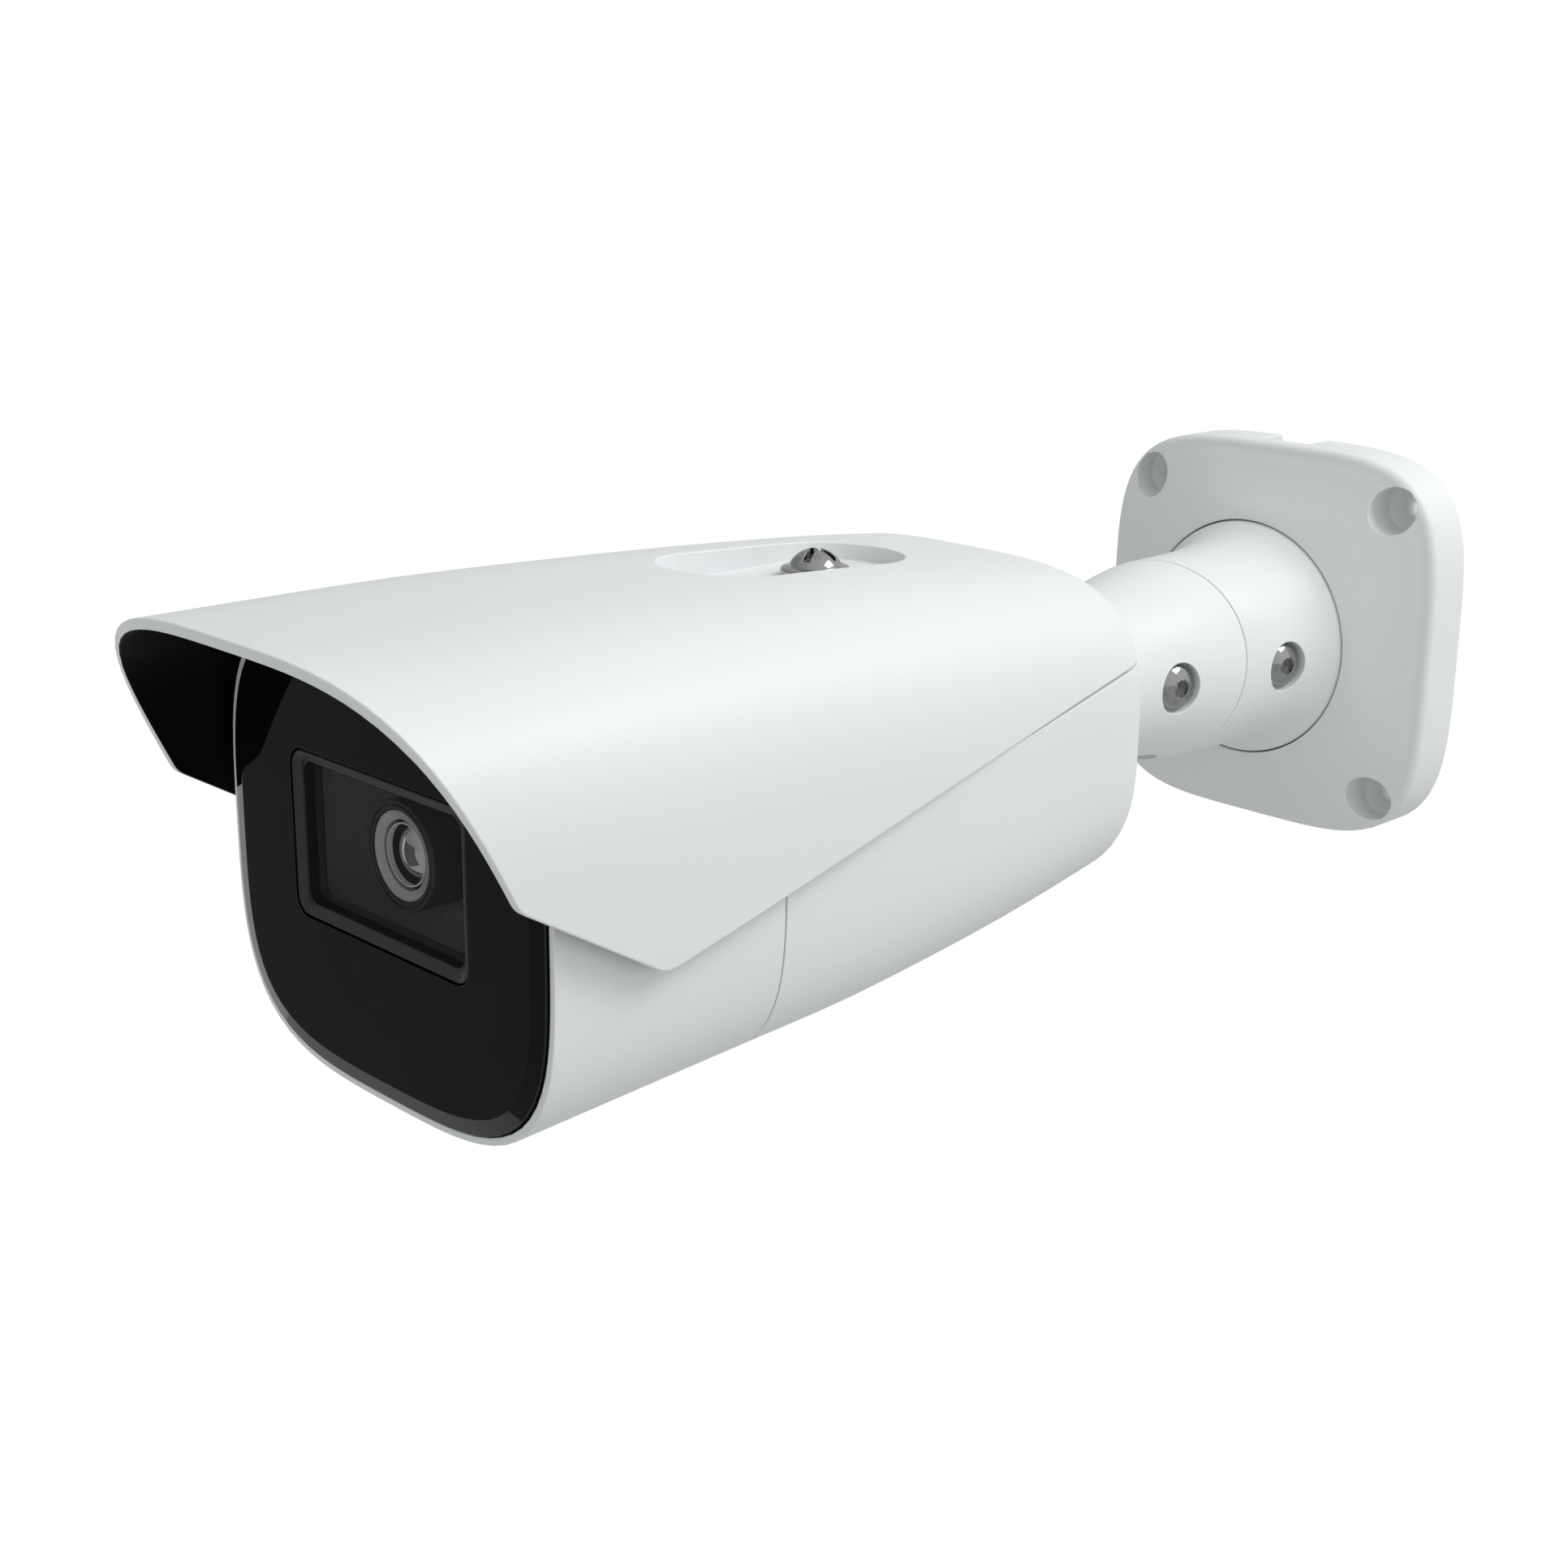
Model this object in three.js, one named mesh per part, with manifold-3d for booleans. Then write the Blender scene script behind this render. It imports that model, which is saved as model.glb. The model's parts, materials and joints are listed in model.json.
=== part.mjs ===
// Bullet security camera on a three-axis wall bracket, in millimetres, +Z up.
// The wall plate's back face lies on y = 0 and is centred on the origin. The camera looks along -Y.
// A place along the camera is a station: its distance from the wall, so y = -station.
import * as THREE from "three";
import { mergeVertices } from "three/addons/utils/BufferGeometryUtils.js";
import Module from "manifold-3d";

const wasm = await Module();
wasm.setup();

// ---------------------------------------------------------------- driving dimensions
const GAP = 0.3; // left between pieces that touch
const SKIN = 36; // points round a housing section
const ROUND = 24; // sides of a large turned piece
const SMALL = 12; // sides of a small turned piece

const PLATE = { half: 42.9, depth: 12.6, corner: 4.1, holes: 32, holeRadius: 2.4, boreRadius: 5.05 };
const CUP = { base: 26.1, seat: 17, socket: 13.4, clear: 0.35 };
const POST = { outer: 13, core: 8, end: 37 };
const SWIVEL = { station: 53.2, radius: 21.5, lean: 22.5, turn: 22 }; // the oblique joint, angles in degrees
const PASSAGE = 9; // radius of the cable way
const SPIGOT = 12; // outer radius of the neck's two spigots
const WEB_HOLE = 12.4;

const REAR = 106; // station of the camera's back
const SEAM = 202.5; // station of the joint between the two housings
const FACE = 250; // station of the front rim
const GLASS = 251.1; // station of the front glass's face
const RIM = 1.2; // width of the front rim round the glass
const SHAPE = 3.48; // exponent of the superellipse sections of the housings and the sunshield
const SHIELD = { front: 276, thick: 1.9, half: 48.3, top: 39.1, clear: 0.4 };
const RAKE = 0.52; // the shield's front edge runs back this much for each unit it drops
const TIP = { station: 231.6, z: -11.2 }; // the shield's lowest point on each side
const CORNER = { station: 259.2, z: 5.2 }; // where the raked edge meets the lower edge
const TAIL_Z = 17.8; // height of the shield's lower edge at the camera's back
const NECK_ROOM = 18.4; // radius that the shield's back leaves round the neck
const POCKET = { station: 162.4, half: 26, width: 12.7, floor: 32 };
const SHIELD_SCREW = { station: 154.2, flange: 6.2, head: 4.4, shank: 2 };
const LENS = { z: -1.1, radius: 9.4, bore: 7.7, front: 246.4 };
const PANE = { half: 24.1, top: 13.4, bottom: -15.9, corner: 3.4 };

const WHITE = { color: 0xe6eaea, roughness: 0.5, metalness: 0 };
const BLACK = { color: 0x0b0c0d, roughness: 0.25, metalness: 0 };
const GLOSS = { color: 0x050506, roughness: 0.05, metalness: 0 };
const CHROME = { color: 0xb9bcc0, roughness: 0.15, metalness: 1 };
const STEEL = { color: 0x9a9da0, roughness: 0.35, metalness: 1 };
const ALLOY = { color: 0xa8abad, roughness: 0.45, metalness: 0.9 };
const RUBBER = { color: 0x1a1b1c, roughness: 0.85, metalness: 0 };
const BOARD = { color: 0x14502c, roughness: 0.5, metalness: 0 };
const CHIP = { color: 0x202224, roughness: 0.5, metalness: 0 };
const CLEAR = { color: 0xdfe8ee, roughness: 0.02, metalness: 0, transparent: true, opacity: 0.35 };

// ---------------------------------------------------------------- solids
// A closed geometry as a solid, ready to join and cut.
function solid(geometry) {
  const bare = geometry.clone();
  bare.deleteAttribute("normal");
  bare.deleteAttribute("uv");
  const merged = mergeVertices(bare, 1e-4);
  return new wasm.Manifold(
    new wasm.Mesh({
      numProp: 3,
      vertProperties: merged.attributes.position.array,
      triVerts: new Uint32Array(merged.index.array),
    }),
  );
}

function geometryOf(made) {
  const mesh = made.getMesh();
  const geometry = new THREE.BufferGeometry();
  geometry.setAttribute("position", new THREE.BufferAttribute(mesh.vertProperties, 3));
  geometry.setIndex(new THREE.BufferAttribute(mesh.triVerts, 1));
  geometry.computeVertexNormals();
  return geometry;
}

const join = (first, ...rest) => rest.reduce((made, next) => made.add(next), first);
const cut = (first, ...rest) => rest.reduce((made, next) => made.subtract(next), first);

// A cylinder round the camera's axis between two stations.
function barrel(radius, from, to, sides = ROUND) {
  const geometry = new THREE.CylinderGeometry(radius, radius, to - from, sides);
  return geometry.translate(0, -(from + to) / 2, 0);
}

// A turned piece: its profile of [radius, station] closes on itself, or starts and ends on the axis.
function turned(profile, sides = ROUND) {
  const points = profile.map(([radius, station]) => new THREE.Vector2(radius, -station));
  if (THREE.ShapeUtils.area(points) < 0) points.reverse();
  if (profile[0][0] > 0) points.push(points[0].clone());
  return new THREE.LatheGeometry(points, sides);
}

// A box between two x, two stations and two z.
function block([x0, x1], [from, to], [z0, z1]) {
  const geometry = new THREE.BoxGeometry(x1 - x0, to - from, z1 - z0);
  return geometry.translate((x0 + x1) / 2, -(from + to) / 2, (z0 + z1) / 2);
}

// A closed skin through sections listed from the wall outwards. Each section turns
// a direction on the unit circle into a point, and its centre closes an end.
function loft(sections, around = SKIN) {
  const last = sections.length - 1;
  const geometry = new THREE.CylinderGeometry(1, 1, 1, around, last);
  const places = geometry.attributes.position;
  const point = new THREE.Vector3();
  for (let i = 0; i < places.count; i++) {
    point.fromBufferAttribute(places, i);
    const section = sections[Math.round((0.5 - point.y) * last)];
    section(point.x, point.z, point);
    places.setXYZ(i, point.x, point.y, point.z);
  }
  return geometry;
}

const power = (value, exponent) => Math.sign(value) * Math.abs(value) ** exponent;

// A superellipse section: half width, top and bottom heights, and exponent, at a station.
function oval(half, top, bottom, shape, station) {
  const middle = (top + bottom) / 2;
  const rise = (top - bottom) / 2;
  return (x, z, point) => {
    const flat = (value) => (Math.hypot(x, z) < 0.5 ? 0 : power(value, 2 / shape));
    return point.set(half * flat(x), -station, middle + rise * flat(z));
  };
}

// An outline in the plane of x and z, pushed along the camera's axis between two stations.
function slab(shape, from, to) {
  const options = { depth: to - from, bevelEnabled: false, curveSegments: 6 };
  const geometry = new THREE.ExtrudeGeometry(shape, options);
  return geometry.rotateX(Math.PI / 2).translate(0, -from, 0);
}

// A rectangle with round corners, for slab.
function rounded([x0, x1], [z0, z1], corner) {
  const shape = new THREE.Shape();
  shape.absarc(x1 - corner, z1 - corner, corner, 0, Math.PI / 2);
  shape.absarc(x0 + corner, z1 - corner, corner, Math.PI / 2, Math.PI);
  shape.absarc(x0 + corner, z0 + corner, corner, Math.PI, 1.5 * Math.PI);
  shape.absarc(x1 - corner, z0 + corner, corner, 1.5 * Math.PI, 2 * Math.PI);
  return shape;
}

// A value read off a curve given as [station, value] pairs in rising station.
function along(curve, station) {
  const next = curve.findIndex(([at]) => at >= station);
  if (next < 0) return curve[curve.length - 1][1];
  if (next === 0) return curve[0][1];
  const [from, low] = curve[next - 1];
  const [to, high] = curve[next];
  return low + ((high - low) * (station - from)) / (to - from);
}

// ---------------------------------------------------------------- the camera's outer form
const BODY_HALF = [[REAR, 43], [130, 43.2], [SEAM, 43.6], [FACE, 44]];
const BODY_BOTTOM = [
  [REAR, -26.9], [122.4, -30.6], [137.4, -33.6], [152, -36], [166, -37.9],
  [180, -39.4], [195, -40.3], [SEAM, -40.7], [FACE, -43.4],
];
const SHIELD_HALF = [[REAR, 43], [130, 43.2], [TIP.station, SHIELD.half], [SHIELD.front, SHIELD.half]];
const SHIELD_TOP = [
  [REAR, 31.8], [112, 32.6], [130.6, 34.5], [150.6, 35.9], [172.4, 37.1],
  [193.4, 38], [213.4, 38.7], [TIP.station, SHIELD.top], [SHIELD.front, SHIELD.top],
];
const SHIELD_BOTTOM = [[REAR, -26.9], [130, -32], [TIP.station, -38.9], [SHIELD.front, -38.9]];
const BODY_TOP = [[REAR, 31.8], [130, 33.6], [SEAM, 35.3], [FACE, 36.1]];
const REAR_ROUND = 9; // radius of the rounded edge of the camera's back

// How far the rounded back edge draws a section in.
function drawn(station) {
  const into = REAR_ROUND - Math.min(REAR_ROUND, station - REAR);
  return REAR_ROUND - Math.sqrt(REAR_ROUND ** 2 - into ** 2);
}

const REAR_STATIONS = [REAR, REAR + 0.7, REAR + 2.6, REAR + 5.4, REAR + REAR_ROUND];

function bodyForm(stations) {
  return loft(
    stations.map((station) => {
      const less = drawn(station);
      const top = along(BODY_TOP, station) - less;
      return oval(along(BODY_HALF, station) - less, top, along(BODY_BOTTOM, station) + less, SHAPE, station);
    }),
  );
}

// The sunshield's outer form, or the same form drawn in all round by an inset.
function shieldForm(stations, inset) {
  return loft(
    stations.map((station) => {
      const less = drawn(station) + inset;
      const top = along(SHIELD_TOP, station) - less;
      const bottom = along(SHIELD_BOTTOM, station) + less;
      return oval(along(SHIELD_HALF, station) - less, top, bottom, SHAPE, station + inset);
    }),
  );
}

const BODY_STATIONS = [...REAR_STATIONS, 130, 146, 162, 180, SEAM, FACE];
const SHIELD_STATIONS = [...REAR_STATIONS, 130, 150.6, 172.4, 193.4, 213.4, TIP.station];

// The shield's side view as a solid across the camera, its edge moved out by a margin.
function shieldReach(margin = 0) {
  const shape = new THREE.Shape();
  const high = SHIELD.top + 8;
  const slope = (TAIL_Z - TIP.z) / (TIP.station - REAR);
  const behind = REAR - 5;
  shape.moveTo(-behind, high);
  shape.lineTo(-behind, TAIL_Z + 5 * slope - margin);
  shape.lineTo(-TIP.station + 6, TIP.z + 6 * slope - margin);
  shape.quadraticCurveTo(-TIP.station, TIP.z - margin, -TIP.station - 5, TIP.z + 3.1 - margin);
  shape.lineTo(-CORNER.station + 2, CORNER.z - 1.2 - margin);
  shape.quadraticCurveTo(-CORNER.station, CORNER.z - margin, -CORNER.station - 0.8, CORNER.z + 1.5 - margin);
  shape.lineTo(-SHIELD.front - RAKE * 8, high);
  const geometry = new THREE.ExtrudeGeometry(shape, { depth: 120, bevelEnabled: false, curveSegments: 4 });
  // the outline's x runs along the camera and its y upwards
  const turn = new THREE.Matrix4().set(0, 0, 1, -60, 1, 0, 0, 0, 0, 1, 0, 0, 0, 0, 0, 1);
  return geometry.applyMatrix4(turn);
}

// The long pocket in the shield's top, grown by a margin, from a floor height up.
function pocket(margin, floor) {
  const shape = new THREE.Shape();
  const reach = POCKET.half - POCKET.width;
  shape.absarc(0, reach, POCKET.width + margin, 0, Math.PI);
  shape.absarc(0, -reach, POCKET.width + margin, Math.PI, 2 * Math.PI);
  const geometry = new THREE.ExtrudeGeometry(shape, { depth: 30, bevelEnabled: false, curveSegments: 10 });
  return geometry.translate(0, -POCKET.station, floor);
}

function sunshield() {
  const front = SHIELD_STATIONS.concat(SHIELD.front + 6);
  const outer = solid(shieldForm(front, 0));
  const inner = solid(shieldForm(front, SHIELD.thick));
  const dished = solid(pocket(SHIELD.thick, POCKET.floor - SHIELD.thick));
  const shell = join(cut(outer, inner), outer.intersect(dished));
  const hole = new THREE.CylinderGeometry(2.6, 2.6, 40, SMALL);
  hole.rotateX(Math.PI / 2).translate(0, -SHIELD_SCREW.station, POCKET.floor);
  const shown = shell.intersect(solid(shieldReach()));
  const room = solid(barrel(NECK_ROOM, REAR - 2, REAR + 5));
  return cut(shown, solid(pocket(0, POCKET.floor)), solid(hole), room);
}

// The housing's outer form: flush with the shield below its edge, and let down beneath it above.
function housingForm() {
  const whole = solid(bodyForm(BODY_STATIONS));
  const inset = SHIELD.thick + SHIELD.clear;
  const under = solid(shieldForm(SHIELD_STATIONS.concat(SHIELD.front + 6), inset));
  const room = solid(barrel(NECK_ROOM - SHIELD.clear, REAR - 2, REAR + 5));
  const covered = cut(solid(shieldReach(SHIELD.clear)), room);
  const dish = solid(pocket(inset, POCKET.floor - inset));
  return cut(whole, covered.subtract(under), dish);
}

const HOUSING = housingForm();
const BOSSES = [
  ["upper_left", -31.5, 24.5],
  ["upper_right", 31.5, 24.5],
  ["lower_left", -31.5, -30.5],
  ["lower_right", 31.5, -30.5],
];
const BOSS = { radius: 4.4, rear: 190, front: 214, pilot: 1.7 };

function rearHousing() {
  const outer = HOUSING.intersect(solid(block([-60, 60], [REAR - 1, SEAM - GAP / 2], [-60, 60])));
  const hollow = solid(
    loft([
      oval(30, 22, -19, 3, REAR + 4.4),
      oval(36, 26, -23.5, 3.3, REAR + 8),
      oval(39.6, 28, -28.5, 3.5, 124),
      oval(40.2, 28.5, -33, SHAPE, 152),
      oval(40.5, 28.5, -36.4, SHAPE, 180),
      oval(40.6, 28.5, -37.6, SHAPE, SEAM - 7),
      oval(40.6, 32.3, -37.7, SHAPE, SEAM - 4),
      oval(40.6, 32.3, -37.7, SHAPE, SEAM + 1),
    ]),
  );
  let made = cut(outer, hollow, solid(barrel(WEB_HOLE, REAR - 2, REAR + 10)));
  const stem = new THREE.CylinderGeometry(5, 5, 10, SMALL);
  stem.rotateX(Math.PI / 2).translate(0, -SHIELD_SCREW.station, 24.4);
  const thread = new THREE.CylinderGeometry(SHIELD_SCREW.shank + 0.2, SHIELD_SCREW.shank + 0.2, 14, SMALL);
  thread.rotateX(Math.PI / 2).translate(0, -SHIELD_SCREW.station, 27);
  made = cut(join(made, solid(stem)), solid(thread));
  for (const [, x, z] of BOSSES) {
    const boss = solid(barrel(BOSS.radius, BOSS.rear, SEAM - GAP / 2, SMALL).translate(x, 0, z));
    const bore = solid(barrel(BOSS.pilot, BOSS.rear - 1, SEAM + 1, SMALL).translate(x, 0, z));
    const reach = solid(barrel(BOSS.pilot + 1.5, BOSS.rear - 20, BOSS.rear, SMALL).translate(x, 0, z));
    made = cut(join(made, boss.intersect(HOUSING)), bore, reach);
  }
  return cut(made, seamRing(1, 2.3, SEAM - 1.6, SEAM + 1));
}

function frontOpening(inset, from, to) {
  return loft([
    oval(44 - inset, 36.1 - inset, -43.4 + inset, SHAPE, from),
    oval(44 - inset, 36.1 - inset, -43.4 + inset, SHAPE, to),
  ]);
}

function frontHousing() {
  const outer = HOUSING.intersect(solid(block([-60, 60], [SEAM + GAP / 2, FACE + 1], [-60, 60])));
  const hollow = loft([
    oval(40.6, 32.3, -37.7, SHAPE, SEAM - 1),
    oval(40.8, 32.6, -38.6, SHAPE, 225),
    oval(40.8, 32.8, -40, SHAPE, 243),
  ]);
  const throat = solid(frontOpening(4.6, 240, 248));
  const recess = solid(frontOpening(RIM, 245.6, FACE + 1));
  let made = cut(outer, solid(hollow), throat, recess);
  for (const [, x, z] of BOSSES) {
    const boss = solid(barrel(BOSS.radius, SEAM + GAP / 2, BOSS.front, SMALL).translate(x, 0, z));
    const bore = solid(barrel(BOSS.pilot, SEAM - 1, BOSS.front - 2, SMALL).translate(x, 0, z));
    made = cut(join(made, boss.intersect(HOUSING)), bore);
  }
  return made;
}

// ---------------------------------------------------------------- the front end
function frontWindow() {
  const pane = solid(frontOpening(RIM + GAP, 246.9, GLASS));
  return cut(pane, solid(slab(rounded([-PANE.half, PANE.half], [PANE.bottom, PANE.top], PANE.corner), 240, 260)));
}

// The bevelled frame set into the opening of the front glass.
function lensFrame() {
  const size = (less) => rounded(
    [-PANE.half + less, PANE.half - less],
    [PANE.bottom + less, PANE.top - less],
    PANE.corner - less / 3,
  );
  const outer = solid(slab(size(GAP), 246.9, GLASS - 0.2));
  const slope = new THREE.ExtrudeGeometry(size(3.2), {
    depth: 1.6, bevelThickness: 1.6, bevelSize: 1.9, bevelSegments: 1, curveSegments: 6,
  });
  slope.rotateX(Math.PI / 2).translate(0, -(GLASS - 0.5), 0);
  return cut(outer, solid(slab(size(3.2), 240, 260)), solid(slope));
}

function lensPane() {
  const less = 3.2 + GAP;
  const outline = rounded([-PANE.half + less, PANE.half - less], [PANE.bottom + less, PANE.top - less], 2);
  return slab(outline, 247.3, 248.3);
}

function windowSeal() {
  return cut(solid(frontOpening(RIM + 0.4, 245.9, 246.6)), solid(frontOpening(4.3, 240, 250)));
}

// ---------------------------------------------------------------- the wall bracket
function wallPlate() {
  const ring = (half, shape, station) => oval(half, half, -half, shape, station);
  const outer = loft([
    ring(PLATE.half, PLATE.corner, 0),
    ring(PLATE.half, PLATE.corner, PLATE.depth - 2),
    ring(PLATE.half - 0.4, PLATE.corner, PLATE.depth - 0.7),
    ring(PLATE.half - 1.5, PLATE.corner, PLATE.depth),
    ring(36.8, 3.2, 14.6),
    ring(31.6, 2.6, 17.4),
    ring(28.2, 2, 19.4),
    ring(27.3, 2, 19.7),
  ]);
  const seat = barrel(CUP.base + CUP.clear, CUP.seat, 30, SKIN);
  const room = barrel(31, -1, 9);
  const post = turned([
    [POST.core, 8], [POST.outer, 8], [POST.outer, 30.6], [POST.outer - 1.2, 31.4],
    [POST.outer - 1.2, 33.4], [POST.outer, 34.2], [POST.outer, POST.end], [POST.core, POST.end],
  ]);
  const exit = block([-6, 6], [-1, 8], [20, 60]);
  let made = cut(join(cut(solid(outer), solid(seat), solid(room)), solid(post)), solid(barrel(PASSAGE, -1, 50)));
  made = cut(made, solid(exit));
  for (const x of [-PLATE.holes, PLATE.holes])
    for (const z of [-PLATE.holes, PLATE.holes]) {
      const hole = turned([
        [0, -1], [PLATE.holeRadius, -1], [PLATE.holeRadius, 4.4], [PLATE.boreRadius, 7],
        [PLATE.boreRadius, 20], [0, 20],
      ], SMALL);
      made = cut(made, solid(hole.translate(x, 0, z)));
    }
  return made;
}

// The oblique joint: its axis points from the cup into the neck.
const AXIS = new THREE.Vector3(0, -1, 0)
  .applyAxisAngle(new THREE.Vector3(0, 0, 1), THREE.MathUtils.degToRad(SWIVEL.lean))
  .applyAxisAngle(new THREE.Vector3(0, 1, 0), THREE.MathUtils.degToRad(-SWIVEL.turn));
const LEANING = new THREE.Quaternion().setFromUnitVectors(new THREE.Vector3(0, -1, 0), AXIS);
const LEVEL = new THREE.Quaternion();

// A round section whose plane is turned part of the way towards the oblique joint's plane.
function leaning(radius, station, part) {
  const turn = LEVEL.clone().slerp(LEANING, part);
  return (x, z, point) => {
    const size = Math.hypot(x, z) < 0.5 ? 0 : radius;
    point.set(x * size, 0, z * size).applyQuaternion(turn);
    point.y -= station;
    return point;
  };
}

// A geometry made round the camera's axis, moved onto the oblique joint: its stations count from the joint.
function onSwivel(geometry) {
  return geometry.applyQuaternion(LEANING).translate(0, -SWIVEL.station, 0);
}

// Where a lock screw sits: square to the surface, turned round the camera's axis from the right side.
const LOCK_LEAN = 10; // degrees that each lock screw leans forward with the flare
function lockPlace(radius, station, around, depth) {
  const place = new THREE.Object3D();
  const turn = THREE.MathUtils.degToRad(around);
  const out = new THREE.Vector3(Math.cos(turn), 0, Math.sin(turn));
  place.position.copy(out).multiplyScalar(radius);
  place.position.y = -station;
  out.y = -Math.tan(THREE.MathUtils.degToRad(LOCK_LEAN));
  place.quaternion.setFromUnitVectors(new THREE.Vector3(0, 1, 0), out.normalize());
  place.updateMatrix();
  place.depth = depth;
  return place;
}

const LOCK = { bore: 5.7, head: 5, sink: 3, shank: 2 };
const PAN_LOCK = lockPlace(22, 33.2, -2, 8.4);
const TILT_LOCK = lockPlace(19, 66.4, -2, 7.6);
const ROLL_LOCK = lockPlace(19.7, 62.8, -78, 7.6);

// The stepped hole of a lock screw.
function lockHole(place) {
  const wide = new THREE.CylinderGeometry(LOCK.bore, LOCK.bore, 10, SMALL).translate(0, 5 - LOCK.sink, 0);
  const narrow = new THREE.CylinderGeometry(LOCK.shank + GAP, LOCK.shank + GAP, 24, SMALL).translate(0, -8, 0);
  return join(solid(wide), solid(narrow)).transform(place.matrix.toArray());
}

// A domed lock screw with a hexagon socket, standing in its hole.
function lockScrew(place) {
  const base = -LOCK.sink + GAP;
  const profile = [
    [0, -place.depth], [LOCK.shank, -place.depth], [LOCK.shank, base], [LOCK.head, base],
    [LOCK.head, base + 0.9], [LOCK.head * 0.88, base + 1.7], [LOCK.head * 0.6, base + 2.4], [0, base + 2.7],
  ];
  const points = profile.map(([radius, height]) => new THREE.Vector2(radius, height));
  const socket = new THREE.CylinderGeometry(1.5, 1.5, 4, 6).translate(0, base + 2.9, 0);
  return cut(solid(new THREE.LatheGeometry(points, SMALL)), solid(socket));
}

function panCup() {
  const flare = loft([
    leaning(CUP.base, CUP.seat + GAP, 0),
    leaning(CUP.base, 19.6, 0),
    leaning(25.7, 20.3, 0),
    leaning(24.7, 21.6, 0),
    leaning(23.6, 24.2, 0),
    leaning(22.6, 28, 0),
    leaning(22, 33.5, 0.04),
    leaning(21.7, 40, 0.3),
    leaning(21.6, 46.6, 0.66),
    leaning(SWIVEL.radius, SWIVEL.station, 1),
  ], ROUND);
  return cut(
    solid(flare),
    solid(barrel(CUP.socket, 10, 39)),
    solid(barrel(10.8, 38, 52)),
    solid(onSwivel(barrel(17, -8, -2.6))),
    solid(onSwivel(barrel(WEB_HOLE, -4, 2))),
    lockHole(PAN_LOCK),
  );
}

function neck() {
  const outer = loft([
    leaning(SWIVEL.radius, SWIVEL.station, 1),
    leaning(20.4, 60, 0.6),
    leaning(19, 67, 0.25),
    leaning(17.8, 74, 0.03),
    leaning(17, 86, 0),
    leaning(16.6, 100, 0),
    leaning(16.5, REAR - GAP, 0),
  ], ROUND);
  const face = onSwivel(barrel(30, -12, GAP));
  const swivelSpigot = onSwivel(barrel(SPIGOT, -8, 2));
  const rollSpigot = barrel(SPIGOT, REAR - 2, REAR + 12);
  const groove = cut(solid(barrel(15.9, REAR - 1.6, REAR + 1)), solid(barrel(13.1, REAR - 3, REAR + 3)));
  return cut(
    join(cut(solid(outer), solid(face)), solid(swivelSpigot), solid(rollSpigot)),
    solid(barrel(PASSAGE, 60, REAR + 14)),
    solid(onSwivel(barrel(PASSAGE, -10, 9.5))),
    groove,
    lockHole(TILT_LOCK),
    lockHole(ROLL_LOCK),
  );
}

const tiltRetainer = () => onSwivel(turned([[SPIGOT + GAP, -6.2], [16, -6.2], [16, -2.9], [SPIGOT + GAP, -2.9]]));
const rollRetainer = () => turned([
  [SPIGOT + GAP, REAR + 4.7], [16.4, REAR + 4.7], [16.4, REAR + 8], [SPIGOT + GAP, REAR + 8],
]);
const neckSeal = () => turned([[13.4, REAR - 1.3], [15.6, REAR - 1.3], [15.6, REAR - 0.3], [13.4, REAR - 0.3]]);

// The rubber plug in the neck's end, with a way for the cable.
const cableBush = () => turned([
  [3.4, REAR + 5], [PASSAGE - GAP, REAR + 5], [PASSAGE - GAP, REAR + 12.3], [11.6, REAR + 12.3],
  [11, REAR + 15], [6, REAR + 20], [3.4, REAR + 20],
]);

// ---------------------------------------------------------------- the works inside
const onTop = (geometry, station, z) => geometry.rotateX(Math.PI / 2).translate(0, -station, z);

// The chromed screw that holds the sunshield: wide flange, domed head, crossed slots.
function shieldScrew() {
  const { flange, head, shank } = SHIELD_SCREW;
  const points = [
    [0, -9.5], [shank, -9.5], [shank, 0.9], [flange, 0.9], [flange, 1.5], [flange - 0.5, 1.9],
    [head, 1.9], [head, 2.7], [head * 0.9, 3.7], [head * 0.64, 4.7], [head * 0.3, 5.2], [0, 5.3],
  ].map(([radius, height]) => new THREE.Vector2(radius, height));
  const slot = (turn) => solid(new THREE.BoxGeometry(0.9, 1.6, 6).translate(0, 5.1, 0).rotateY(turn));
  return cut(solid(new THREE.LatheGeometry(points, SMALL + 4)), slot(0), slot(Math.PI / 2));
}

function shieldWasher() {
  const { shank, flange } = SHIELD_SCREW;
  const points = [[shank + GAP, 0.3], [flange - 1, 0.3], [flange - 1, 0.6], [shank + GAP, 0.6]];
  const loop = [...points, points[0]].map(([radius, height]) => new THREE.Vector2(radius, height));
  return new THREE.LatheGeometry(loop, SMALL);
}

function housingScrew() {
  const points = [[0, -18.6], [1.35, -18.6], [1.35, 0], [2.7, 0], [2.7, 1.2], [1.9, 2.1], [0, 2.3]]
    .map(([radius, height]) => new THREE.Vector2(radius, height));
  return new THREE.LatheGeometry(points, 12);
}

// A closed ring in the seam between the housings, inset from their outline at both edges.
function seamRing(outside, inside, from, to) {
  const edge = (inset, station) =>
    oval(43.6 - inset, 35.3 - inset, -40.7 + inset, SHAPE, station);
  const outer = solid(loft([edge(outside, from), edge(outside, to)]));
  return cut(outer, solid(loft([edge(inside, from - 1), edge(inside, to + 1)])));
}

const housingSeal = () => seamRing(1.3, 2, SEAM - 1.3, SEAM - GAP);

const lensBarrel = () => turned([
  [LENS.bore, LENS.front], [LENS.radius, LENS.front], [LENS.radius, 238], [7, 236.6],
  [7, 222], [5.2, 222], [5.2, 239], [LENS.bore, 240.6],
]);
const lensBezel = () => turned([
  [6.3, 244.3], [7.4, 244.3], [7.4, 246], [6.8, 246], [6.3, 245.4],
]);
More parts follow.
